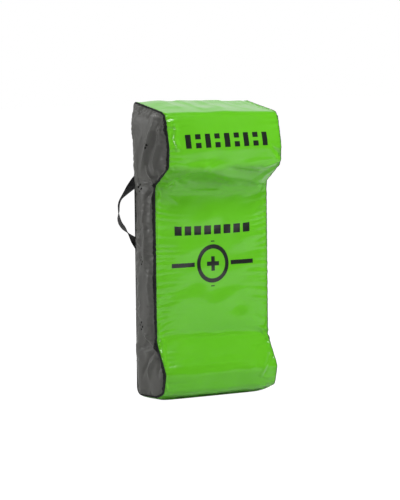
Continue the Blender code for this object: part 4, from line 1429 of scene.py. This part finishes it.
class SeamBinding:
    """The woven binding round a gusset: a bead over the seam and a flange on the grey side."""

    PITCH = 0.003
    BEAD = 0.0018
    BEAD_INSET = 0.0014
    BEAD_POINTS = 9
    BEAD_TURNS = (-0.35 * math.pi, 1.1 * math.pi)
    FLANGE = 0.0042
    FRONT_FLANGE = 0.0092
    FLANGE_POINTS = 6
    FLANGE_THICKNESS = 0.0007
    HEAD_SHARE, HEAD_FADE = 0.35, (-0.02, 0.05)

    def __init__(self, form: CoverForm, panel: SidePanel) -> None:
        """Keeps the seam that the binding follows."""
        self.form, self.panel, self.side = form, panel, panel.side
        seam, _, _ = form.outlines(self.PITCH, self.side)
        closing = np.linspace(seam[-1], seam[0], round((seam[0, 1] - seam[-1, 1]) / self.PITCH) + 1)[1:]
        self.path = np.concatenate([seam, closing])
        self.places = run_lengths(self.path)
        ring = self.path[:-1]
        tangents = unit(np.roll(ring, -1, axis=0) - np.roll(ring, 1, axis=0))
        self.outwards = left_normals(np.concatenate([tangents, tangents[:1]]))

    def on_panel(self, row: int, inset: float, lift: float) -> Vector:
        """A point over the gusset, so far in from the seam and so far off the cloth."""
        sign = self.side.value
        depth, height = self.path[row] - self.outwards[row] * inset
        start = Vector(self.form.place(sign * self.form.width, depth, height))
        found = self.panel.surface.on(start, Vector((-sign, 0, 0)))
        x = found[0].x if found else sign * self.form.width / 2
        return Vector((x + sign * lift, start.y, start.z))

    def flange(self, row: int) -> float:
        """How far in from the seam the flange reaches: it is widest down the front edges."""
        form, height = self.form, self.path[row][1]
        at_head = soft_step(height, *(form.waist_top + reach for reach in self.HEAD_FADE))
        facing = float(self.outwards[row][0])
        front = max(0.0, facing) ** 2 * (1 - self.HEAD_SHARE * float(at_head))
        rear = max(0.0, -facing) ** 2 * float(self.panel.by_handle(height))
        return self.FLANGE + (self.FRONT_FLANGE - self.FLANGE) * max(front, rear)

    def build(self, material: Material) -> None:
        """Makes the binding and puts it in the place of its plain solid."""
        sign, word = self.side.value, self.side.word
        rings = []
        for row in range(len(self.path)):
            ring = []
            for turn in np.linspace(*self.BEAD_TURNS, self.BEAD_POINTS):
                reach = self.BEAD * math.sin(turn) - self.BEAD_INSET
                x = sign * (self.form.width / 2 - self.BEAD * math.cos(turn))
                ring.append(Vector(self.form.place(x, *(self.path[row] + self.outwards[row] * reach))))
            insets = np.linspace(self.BEAD + self.BEAD_INSET, self.flange(row), self.FLANGE_POINTS)
            ring += [self.on_panel(row, inset, self.FLANGE_THICKNESS) for inset in insets]
            ring += [self.on_panel(row, inset, -self.FLANGE_THICKNESS) for inset in insets[::-1]]
            rings.append(ring + ring[:1])
        points = np.array(rings)
        points[-1] = points[0]
        flat = sheet_of(run_lengths(points[0])[None, :], self.places[:, None])
        data = grid_mesh(f"{word}_bound_seam", points, flat, closed=True)
        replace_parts(add_piece(data, material), f"{word}_seam_binding")


class Stitches:
    """A run of thread: each stitch a small spindle that lies on the cloth."""

    LENGTH = 0.0034
    GAP = 0.0013
    RADIUS = 0.00042
    SUNK = 0.3

    def __init__(self, name: str) -> None:
        """Starts an empty run."""
        self.name = name
        self.shape = bmesh.new()

    def stitch(self, start: Vector, end: Vector) -> None:
        """Adds one stitch between two points."""
        along = end - start
        turn = along.to_track_quat("Z", "Y").to_matrix().to_4x4()
        size = Matrix.Diagonal((self.RADIUS, self.RADIUS, along.length / 2, 1))
        matrix = Matrix.Translation((start + end) / 2) @ turn @ size
        bmesh.ops.create_icosphere(self.shape, subdivisions=1, radius=1, matrix=matrix)

    def run(self, points: list[Vector]) -> None:
        """Adds stitches one after another along a path."""
        path = np.array([tuple(p) for p in points])
        lengths = run_lengths(path)
        step = self.LENGTH + self.GAP
        count = max(1, int(lengths[-1] / step))
        starts = np.arange(count) * (lengths[-1] / count)
        for a, b in zip(pick(path, starts, lengths), pick(path, starts + self.LENGTH, lengths)):
            self.stitch(Vector(a), Vector(b))

    def build(self, material: Material, slot: str) -> None:
        """Makes the run a piece."""
        add_piece(to_mesh(self.shape, self.name, smooth=True), material)


def ribbon_mesh(name: str, spine: Array, across: Array, width: Array, thickness: float) -> Mesh:
    """A flat webbing with rounded edges, swept along a spine.

    Args:
        name: the mesh's name.
        spine: the middle line's points.
        across: the unit direction of the width at each point.
        width: the width at each point.
        thickness: the webbing's thickness.

    Returns:
        The closed mesh, with its flat places in metres.
    """
    tangent = unit(np.gradient(spine, axis=0))
    across = unit(across - tangent * (across * tangent).sum(axis=1, keepdims=True))
    normal = np.cross(across, tangent)
    flats = np.linspace(-1, 1, RIBBON_FLATS)
    turns = np.linspace(-math.pi / 2, math.pi / 2, RIBBON_ROUNDS)[1:-1]
    bulge = [(math.cos(turn), math.sin(turn)) for turn in turns]
    profile = [(x, -1.0, 0.0) for x in flats]
    profile += [(1.0, y, x) for x, y in bulge]
    profile += [(x, 1.0, 0.0) for x in flats[::-1]]
    profile += [(-1.0, -y, -x) for x, y in bulge]
    profile.append(profile[0])
    flat_x, side_y, round_x = np.array(profile).T
    half = width[:, None] / 2 - thickness / 2
    over = half * flat_x[None, :] + thickness / 2 * round_x[None, :]
    points = spine[:, None] + across[:, None] * over[..., None]
    points = points + normal[:, None] * (side_y[None, :] * thickness / 2)[..., None]
    return grid_mesh(name, points, sheet_of(over, run_lengths(spine)[:, None]), closed=True)


class WebbingHandle:
    """A hand loop with its base strip and its two sewn tabs, on one back edge."""

    INSET = 0.026
    DROP = 0.316
    SPAN = 0.220
    REACH = 0.065
    BEND = 0.040
    END_BEND = 0.020
    GRIP = 0.030
    RISE, RISE_REACH = (0.004, -0.006), 0.001
    SWING = 45.0
    WIDTH = 0.044
    THICKNESS = 0.0022
    BASE_THICKNESS = 0.0016
    TAB_LENGTH = 0.054
    CLEAR, TAB_CLEAR, PLY_CLEAR = 0.0003, 0.0006, 0.0002
    TRIM, SIDE_TRIM = 0.004, 0.001
    SEW_MARGIN, END_MARGIN = 0.005, 0.006
    DRAWN, DRAWN_REACH = 0.10, 0.12
    HELD = 0.055
    ROW_PITCH = 0.006
    ROWS = 46
    ARC_STEPS, LINE_STEPS = 10, 6
    EASINGS = 3
    BOX_POINTS, LINE_POINTS = 12, 40
    UPPER_TURNS = ((0.0, 0.10, 0.20, 0.28, 0.36, 0.5), (0.0, 0.05, 0.35, 0.75, 1.08, 1.20))
    LOWER_TURNS = ((0.0, 0.065, 0.145, 0.22, 0.32, 0.43, 0.5), (0.0, 0.10, 0.50, 1.15, 1.75, 1.50, 1.20))

    def __init__(self, form: CoverForm, side: Side, joints: list[dict]) -> None:
        """Finds the handle's place and the line that its loop swings about."""
        self.form, self.side = form, side
        self.x = side.value * (form.width / 2 - self.INSET)
        self.middle = form.height - self.DROP
        joint = next(j for j in joints if j["name"] == f"{side.word}_handle_swing")
        self.pivot = Vector(joint["pos_m"])

    def back(self, x: float, height: float, lift: float) -> Vector:
        """A point so far off the back panel."""
        rise = float(self.form.back_rise(np.array(x), np.array(height)))
        return Vector(self.form.place(x, -rise - lift, height))

    def strip(
        self, name: str, ends: tuple[float, float], lift: float, width: float, thickness: float
    ) -> Mesh:
        """A straight length of webbing that lies on the back.

        Args:
            name: the mesh's name.
            ends: the heights of its two ends.
            lift: how far its middle lies off the back.
            width: its width.
            thickness: its thickness.

        Returns:
            The mesh.
        """
        heights = np.linspace(*ends, max(4, round((ends[1] - ends[0]) / self.ROW_PITCH)))
        places = self.x - width / 2, self.x, self.x + width / 2
        spine, across = [], []
        for height in heights:
            left, centre, right = (self.back(x, height, lift) for x in places)
            spine.append((left + right) / 4 + centre / 2)
            across.append((right - left).normalized())
        return ribbon_mesh(name, np.array(spine), np.array(across), np.full(len(heights), width), thickness)

    def loop_route(self) -> Array:
        """The loop's middle line, as (reach, height) from the tabs' edge to edge."""
        ends = [(0, self.SPAN / 2 + self.RISE[0]), (self.RISE_REACH, self.SPAN / 2 + self.RISE[1])]
        upper = [Vector(spot) for spot in (*ends, (self.REACH, self.GRIP))]
        lower = [Vector((spot.x, -spot.y)) for spot in upper[::-1]]
        radii = [0, self.END_BEND, self.BEND]
        return rounded_path(upper + lower, radii + radii[::-1], self.ARC_STEPS, self.LINE_STEPS)

    def loop_half(self, upper: bool) -> Mesh:
        """One half of the loop, from its tab to its middle."""
        route = self.loop_route()
        lengths = run_lengths(route)
        start = 0 if upper else 1
        shares = np.linspace(start, 0.5, self.ROWS)
        path = pick(route, shares * lengths[-1], lengths)
        turned = np.interp(np.abs(shares - start), *(self.UPPER_TURNS if upper else self.LOWER_TURNS))
        for _ in range(self.EASINGS):
            turned[1:-1] = (turned[:-2] + 2 * turned[1:-1] + turned[2:]) / 4
        swing = -self.side.value * math.radians(self.SWING)
        out = Matrix.Rotation(swing, 3, "Z") @ Vector((0, 1, 0))
        line = self.pivot.x, self.pivot.y
        spine = [Vector((*line, self.middle + height)) + out * reach for reach, height in path]
        across = [Matrix.Rotation(swing * turn, 3, "Z") @ Vector((1, 0, 0)) for turn in turned]
        drawn = 1 - self.DRAWN * np.exp(-((shares - start) / self.DRAWN_REACH) ** 2)
        name = f"{self.side.word}_loop_{'upper' if upper else 'lower'}"
        return ribbon_mesh(name, np.array(spine), np.array(across), self.WIDTH * drawn, self.THICKNESS)

    def box_stitch(self, run: Stitches, low: float, high: float, lift: float) -> None:
        """A sewn box with a cross in it."""
        half = self.WIDTH / 2 - self.SEW_MARGIN
        corners = [(-half, low), (half, low), (half, high), (-half, high)]
        for start, end in ((0, 1), (1, 2), (2, 3), (3, 0), (0, 2), (1, 3)):
            (x0, z0), (x1, z1) = corners[start], corners[end]
            steps = np.linspace(0, 1, self.BOX_POINTS)
            run.run([self.back(self.x + x0 + (x1 - x0) * t, z0 + (z1 - z0) * t, lift) for t in steps])

    def tab(self, word: str, ends: tuple[float, float], run: Stitches, webbing: Material) -> None:
        """Makes one tab: the loop's end folded double and sewn down.

        Args:
            word: which tab it is.
            ends: the heights of its two ends.
            run: the thread that it is sewn with.
            webbing: its finish.
        """
        node = f"{self.side.word}_{word}_tab"
        inner = self.BASE_THICKNESS + self.TAB_CLEAR + self.THICKNESS / 2
        outer = inner + self.THICKNESS + self.PLY_CLEAR
        data = self.strip(f"{node}_inner", ends, inner, self.WIDTH, self.THICKNESS)
        piece = add_piece(data, webbing)
        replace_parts(piece, f"{self.side.word}_handle_{word}_tab")
        low, high = ends
        ends = (low, high - self.TRIM) if word == "upper" else (low + self.TRIM, high)
        data = self.strip(f"{node}_outer", ends, outer, self.WIDTH - self.SIDE_TRIM, self.THICKNESS)
        add_piece(data, webbing)
        top = outer + self.THICKNESS / 2 + Stitches.RADIUS * Stitches.SUNK
        self.box_stitch(run, ends[0] + self.END_MARGIN, ends[1] - self.END_MARGIN, top)

    def build(self, webbing: Material, thread: Material) -> None:
        """Makes the handle's pieces in the places of their plain solids."""
        word, half = self.side.word, self.SPAN / 2
        low, high = self.middle - half, self.middle + half
        ends = low - self.TAB_LENGTH, high + self.TAB_LENGTH
        lift = self.CLEAR + self.BASE_THICKNESS / 2
        data = self.strip(f"{word}_base_webbing", ends, lift, self.WIDTH, self.BASE_THICKNESS)
        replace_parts(add_piece(data, webbing), f"{word}_handle_base_strip")
        run = Stitches(f"{word}_handle_stitching")
        self.tab("upper", (high, ends[1]), run, webbing)
        self.tab("lower", (ends[0], low), run, webbing)
        gap = self.SPAN - 2 * self.END_MARGIN
        top = self.CLEAR + self.BASE_THICKNESS + Stitches.RADIUS * Stitches.SUNK
        for offset in (-1, 1):
            x = self.x + offset * (self.WIDTH / 2 - self.SEW_MARGIN)
            heights = np.linspace(self.middle - gap / 2, self.middle + gap / 2, self.LINE_POINTS)
            run.run([self.back(x, h, top) for h in heights])
        run.build(thread, "webbing_black")
        for upper, end, step in ((True, high, -self.HELD), (False, low, self.HELD)):
            piece = add_piece(self.loop_half(upper), webbing, "")
            if upper:
                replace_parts(piece, f"{word}_handle_loop")
            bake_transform(piece)


class Zip:
    """The closure across the lower back: tapes, moulded teeth, and its carried-over hardware."""

    TOOTH_PITCH = 0.0025
    TOOTH = (0.0019, 0.0024, 0.0031)
    TOOTH_SHIFT, TOOTH_EASE = 0.0010, 0.0004
    TAPE_NODES = ("zip_upper_tape", "zip_lower_tape")
    TAPE_COLUMNS, TAPE_ROWS = 90, 7
    TAPE_DIP, DIP_PITCH, DIP_SEED = 0.0001, 0.03, 31
    HARDWARE = ("zip_closed_stop", "zip_open_stop", "zip_slider", "zip_pull")

    def __init__(self, form: CoverForm, nodes: dict[str, Piece]) -> None:
        """Keeps the construction's zip solids."""
        self.form, self.nodes = form, nodes

    def tape(self, node: str, material: Material) -> None:
        """Makes a woven tape in the place of its plain solid."""
        low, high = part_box(node)
        across = np.linspace(low.x, high.x, self.TAPE_COLUMNS)[None, :]
        across, height = np.broadcast_arrays(across, np.linspace(low.z, high.z, self.TAPE_ROWS)[:, None])
        dip = self.TAPE_DIP * Ripples(self.DIP_SEED).line(across, self.DIP_PITCH)
        points = np.stack([across, high.y + dip, height], axis=-1)
        data = grid_mesh(f"{node}_weave", points, sheet_of(height, across))
        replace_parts(add_cloth(data, (0, 1, 0), material, high.y - low.y), node)

    def teeth(self, material: Material) -> None:
        """Makes the moulded teeth, in two rows that mesh."""
        low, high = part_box("zip_teeth")
        middle = (low + high) / 2
        shape = bmesh.new()
        count = round((high.x - low.x) / self.TOOTH_PITCH)
        pitch = (high.x - low.x) / count
        for i in range(count):
            side = 1 if i % 2 else -1
            tooth = bmesh.ops.create_cube(shape, size=1)["verts"]
            bmesh.ops.scale(shape, vec=self.TOOTH, verts=tooth)
            centre = Vector((low.x + (i + 0.5) * pitch, middle.y, middle.z + side * self.TOOTH_SHIFT))
            bmesh.ops.translate(shape, vec=centre, verts=tooth)
        bmesh.ops.bevel(
            shape, geom=shape.edges[:], offset=self.TOOTH_EASE, segments=1, profile=0.5, affect="EDGES",
            material=-1,
        )
        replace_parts(add_piece(to_mesh(shape, "zip_moulded_teeth"), material), "zip_teeth")

    def build(self, tape: Material, plastic: Material, metal: Material) -> None:
        """Makes the tapes and teeth and finishes the hardware."""
        for node in self.TAPE_NODES:
            self.tape(node, tape)
        self.teeth(plastic)
        for node in self.HARDWARE:
            self.nodes[node].data.materials.clear()
            self.nodes[node].data.materials.append(metal)


class FoamBlock:
    """A block of the filling, with its sawn edges eased."""

    EASE = 0.0025
    SHARP = 0.6
    FLAT = 0.02
    NEAR = 0.004
    PRESSED = 0.0065
    FILL = 1.0

    def build(self, node: Piece, name: str, strip: FrontStrip, material: Material) -> None:
        """Makes the block from its plain solid, pressed in where the strip's folds bear on it.

        Args:
            node: the plain solid.
            name: its node's name.
            strip: the front strip.
            material: the block's finish.
        """
        shape = bmesh.new()
        shape.from_mesh(node.data)
        bmesh.ops.remove_doubles(shape, verts=shape.verts, dist=MERGE)
        bmesh.ops.dissolve_limit(shape, angle_limit=self.FLAT, verts=shape.verts, edges=shape.edges)
        sharp = [edge for edge in shape.edges if edge.is_manifold and edge.calc_face_angle() > self.SHARP]
        bmesh.ops.bevel(
            shape, geom=sharp, offset=self.EASE, segments=2, profile=0.5, affect="EDGES", material=-1,
            clamp_overlap=True,
        )
        bmesh.ops.recalc_face_normals(shape, faces=shape.faces)
        form, nearest = strip.form, strip.plain.tree.find_nearest
        face_middle = Vector(form.place(0.0, form.waist_depth, form.height / 2))
        inwards = 1 if nearest(face_middle)[1].y > 0 else -1
        for vert in shape.verts:
            _, normal, _, gap = nearest(vert.co)
            if gap < self.NEAR:
                vert.co += normal * self.PRESSED * inwards
        piece = add_piece(to_mesh(shape, f"{name}_block"), material)
        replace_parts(piece, name)


@dataclass(frozen=True)
class Studio:
    """A pale floor, soft lights and the camera at the photograph's angle."""

    azimuth: float = 35.0
    elevation: float = 4.6
    roll: float = -0.65
    distance: float = 9.2
    focal_share: float = 6.4
    shift: tuple[float, float] = (-0.024, -0.0022)
    sensor: float = 36.0
    clip: float = 100
    backdrop: tuple[float, float, float, float] = (0.1, 0.8, 0.05, 0.80)
    ambient: float = 0.14
    floor_size: float = 20
    floor_white: float = 0.80
    floor_glow: float = 1.25
    glow_share: float = 0.80
    target: tuple[float, float, float] = (0.0, -0.042, 0.425)
    aim: tuple[float, float, float] = (0, 0, 0.45)

    def camera(self) -> None:
        """Places the camera."""
        turn, tilt, roll = (math.radians(angle) for angle in (self.azimuth, self.elevation, self.roll))
        right = Vector((math.cos(turn), -math.sin(turn), 0))
        forward = Vector((math.sin(turn) * math.cos(tilt), math.cos(turn) * math.cos(tilt), -math.sin(tilt)))
        up = right.cross(forward)
        rolled_right = right * math.cos(roll) + up * math.sin(roll)
        rolled_up = up * math.cos(roll) - right * math.sin(roll)
        data = bpy.data.cameras.new("camera")
        data.sensor_width = self.sensor
        data.lens = self.sensor * self.focal_share
        data.shift_x, data.shift_y = self.shift
        data.clip_end = self.clip
        camera = link("camera", data)
        axes = Matrix((rolled_right, rolled_up, -forward)).transposed().to_4x4()
        camera.matrix_world = Matrix.Translation(Vector(self.target) - forward * self.distance) @ axes
        bpy.context.scene.camera = camera

    def light(self, name: str, spot: tuple, size: tuple, power: float, **seen: bool) -> None:
        """Adds a soft box that faces the shield.

        Args:
            name: its name.
            spot: its place.
            size: its width and height.
            power: its power in watts.
            seen: what sees its light, as the lamp's own properties name it.
        """
        data = bpy.data.lights.new(name, "AREA")
        data.shape = "RECTANGLE"
        data.size, data.size_y = size
        data.energy = power
        lamp = link(name, data)
        for key, value in seen.items():
            setattr(lamp, key, value)
        turn = (Vector(self.aim) - Vector(spot)).to_track_quat("-Z", "Y").to_matrix().to_4x4()
        lamp.matrix_world = Matrix.Translation(spot) @ turn

    def lights(self) -> None:
        """Adds the studio's lights."""
        self.light("overhead", (0.1, -1.7, 3.2), (1.6, 0.8), 58.0)
        self.light("key", (2.6, -2.9, 2.3), (1.6, 1.6), 102.0, visible_glossy=False)
        self.light("window", (-1.75, -3.6, 1.15), (0.50, 1.9), 41.0, visible_diffuse=False)
        self.light("left_back", (-2.6, 2.0, 1.5), (1.2, 1.2), 43.0)
        self.light("back", (0.4, 2.2, 3.4), (1.6, 1.0), 36.0)

    def world(self) -> None:
        """A surround that is white to the camera, bright behind the shield and dim before it."""
        world = bpy.data.worlds.new("studio")
        world.use_nodes = True
        world.node_tree.nodes.clear()
        nodes = Nodes(world.node_tree)
        path = nodes.add("LightPath").outputs
        seen = nodes.maths("MAXIMUM", path["Is Camera Ray"], path["Is Transmission Ray"])
        way = nodes.add("SeparateXYZ", {0: nodes.add("TexCoord").outputs["Generated"]}).outputs["Y"]
        ramp = {"Value": way} | dict(zip(("From Min", "From Max", "To Min", "To Max"), self.backdrop))
        backdrop = nodes.add("MapRange", ramp, interpolation_type="SMOOTHSTEP").outputs[0]
        mix = {"Factor": path["Is Glossy Ray"], "A": self.ambient, "B": backdrop}
        soft = nodes.add("Background", {"Color": WHITE, "Strength": nodes.add("Mix", mix).outputs[0]})
        white = nodes.add("Background", {"Color": WHITE})
        mixed = nodes.add("MixShader", {0: seen, 1: soft.outputs[0], 2: white.outputs[0]})
        nodes.add("OutputWorld", {0: mixed.outputs[0]})
        bpy.context.scene.world = world

    def floor(self) -> None:
        """A white floor that keeps a soft shadow."""
        graph = Graph("floor_white")
        graph.finish(Base_Color=(*[self.floor_white] * 3, 1), Roughness=0.9)
        seen = graph.add("LightPath").outputs["Is Camera Ray"]
        glow = graph.add("Emission", {"Color": WHITE, "Strength": self.floor_glow}).outputs[0]
        share = graph.maths("MULTIPLY", seen, self.glow_share)
        mixed = graph.add("MixShader", {0: share, 1: graph.shader.outputs[0], 2: glow}).outputs[0]
        graph.join(mixed, graph.tree.nodes["Material Output"].inputs["Surface"])
        shape = bmesh.new()
        bmesh.ops.create_grid(shape, x_segments=1, y_segments=1, size=self.floor_size)
        data = to_mesh(shape, "floor")
        data.materials.append(graph.material)
        link("floor", data)

    def build(self) -> None:
        """Sets the whole stage."""
        self.camera()
        self.world()
        self.lights()
        self.floor()
        bpy.context.scene.view_settings.view_transform = "Standard"


class HitShield:
    """The whole shield, dressed piece by piece."""

    HEAD_MARK_HEIGHT = 0.741
    HIT_MARK_HEIGHT = 0.384
    ROW_MARK_HEIGHT = 0.482
    GREY_STITCH = (0.0012, 0.0009)
    GREEN_STITCH = (0.0038, 0.0002)
    STITCH_START = 0.03
    END_CLEAR = 0.0003

    def __init__(self, frame: dict) -> None:
        """Keeps the frame and the cover's form."""
        self.frame = frame
        self.form = CoverForm()

    def marks(self, strip: FrontStrip) -> tuple[Mark, ...]:
        """The generic marks printed on the strip."""
        heights = (self.HEAD_MARK_HEIGHT, self.HIT_MARK_HEIGHT, self.ROW_MARK_HEIGHT)
        head, centre, row = (strip.along_at(height) for height in heights)
        return (
            BlockRow(0.002, head, count=9, pitch=0.0332, width=0.0185, height=0.040, split=0.010),
            HitMark(0.0, centre, radius=0.049, line=0.0125, plus=0.042, gap=0.014,
                    reach_across=0.142, reach_along=0.066),
            BlockRow(0.0, row, count=8, pitch=0.0340, width=0.0240, height=0.026, split=0.0),
        )

    def sew_cover(
        self, strip: FrontStrip, bindings: list[SeamBinding], green: Material, black: Material
    ) -> None:
        """Stitches the strip and the gussets to their bindings.

        Args:
            strip: the front strip.
            bindings: the two bindings.
            green: the strip's thread.
            black: the gussets' thread.
        """
        for binding in bindings:
            word, (inset, lift) = binding.side.word, self.GREY_STITCH
            on_grey = Stitches(f"{word}_gusset_stitching")
            rows = range(len(binding.path))
            on_grey.run([binding.on_panel(row, binding.flange(row) - inset, lift) for row in rows])
            on_grey.build(black, "binding_black")
            inset, lift = self.GREEN_STITCH
            x, seam = binding.side.value * (self.form.strip_half - inset), strip.seams[binding.side]
            spots = []
            for row in range(2, len(seam) - 2, 2):
                out = seam[row + 1] - seam[row - 1]
                normal = np.array([-out[1], out[0]]) / np.linalg.norm(out)
                start = Vector(self.form.place(x, *(seam[row] + normal * self.STITCH_START)))
                found = strip.surface.on(start, Vector((0, normal[0], -normal[1])))
                if found:
                    spots.append(found[0] + found[1] * lift)
            on_green = Stitches(f"{word}_strip_stitching")
            on_green.run(spots)
            on_green.build(green, "coated_green")

    def build(self) -> None:
        """Builds every piece of the shield."""
        form, nodes = self.form, self.frame["nodes"]
        strip = FrontStrip(form)
        strip.build(COATED_GREEN.build(self.marks(strip)))
        LOG.info("front strip")
        grey, binding, webbing = COATED_GREY.build(), BINDING.build(), WEBBING.build()
        thread, green_thread = THREAD_BLACK.build(), THREAD_GREEN.build()
        bindings = []
        for side in Side:
            panel = SidePanel(form, side)
            piece = panel.build(grey)
            bindings.append(SeamBinding(form, panel))
            bindings[-1].build(binding)
            panel.punch(piece)
            LOG.info("%s gusset, binding and vents", side.word)
        half_gap = form.zip_gap / 2
        top = form.height - form.wrap - self.END_CLEAR
        base = form.base_tuck + form.wrap + self.END_CLEAR
        BackPanel(form, "back_panel", form.zip_height + half_gap, top, 41).build(grey)
        BackPanel(form, "base_flap", base, form.zip_height - half_gap, 43).build(grey)
        self.sew_cover(strip, bindings, green_thread, thread)
        LOG.info("back panel, base flap and stitching")
        joints = self.frame["record"]["behaviour"]["joints"]
        for side in Side:
            WebbingHandle(form, side, joints).build(webbing, thread)
            LOG.info("%s handle", side.word)
        Zip(form, nodes).build(ZIP_TAPE.build(), ZIP_PLASTIC.build(), ZIP_METAL.build())
        foam = FOAM.build()
        for name in ("core_foam", "head_foam", "foot_foam"):
            FoamBlock().build(nodes[name], name, strip, foam)
        LOG.info("zip and foam")


def main() -> None:
    """Dresses the shield and sets the stage."""
    logging.basicConfig(level=logging.INFO, format="%(name)s: %(message)s")
    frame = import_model()
    HitShield(frame).build()
    Studio().build()


if __name__ == "__main__":
    main()
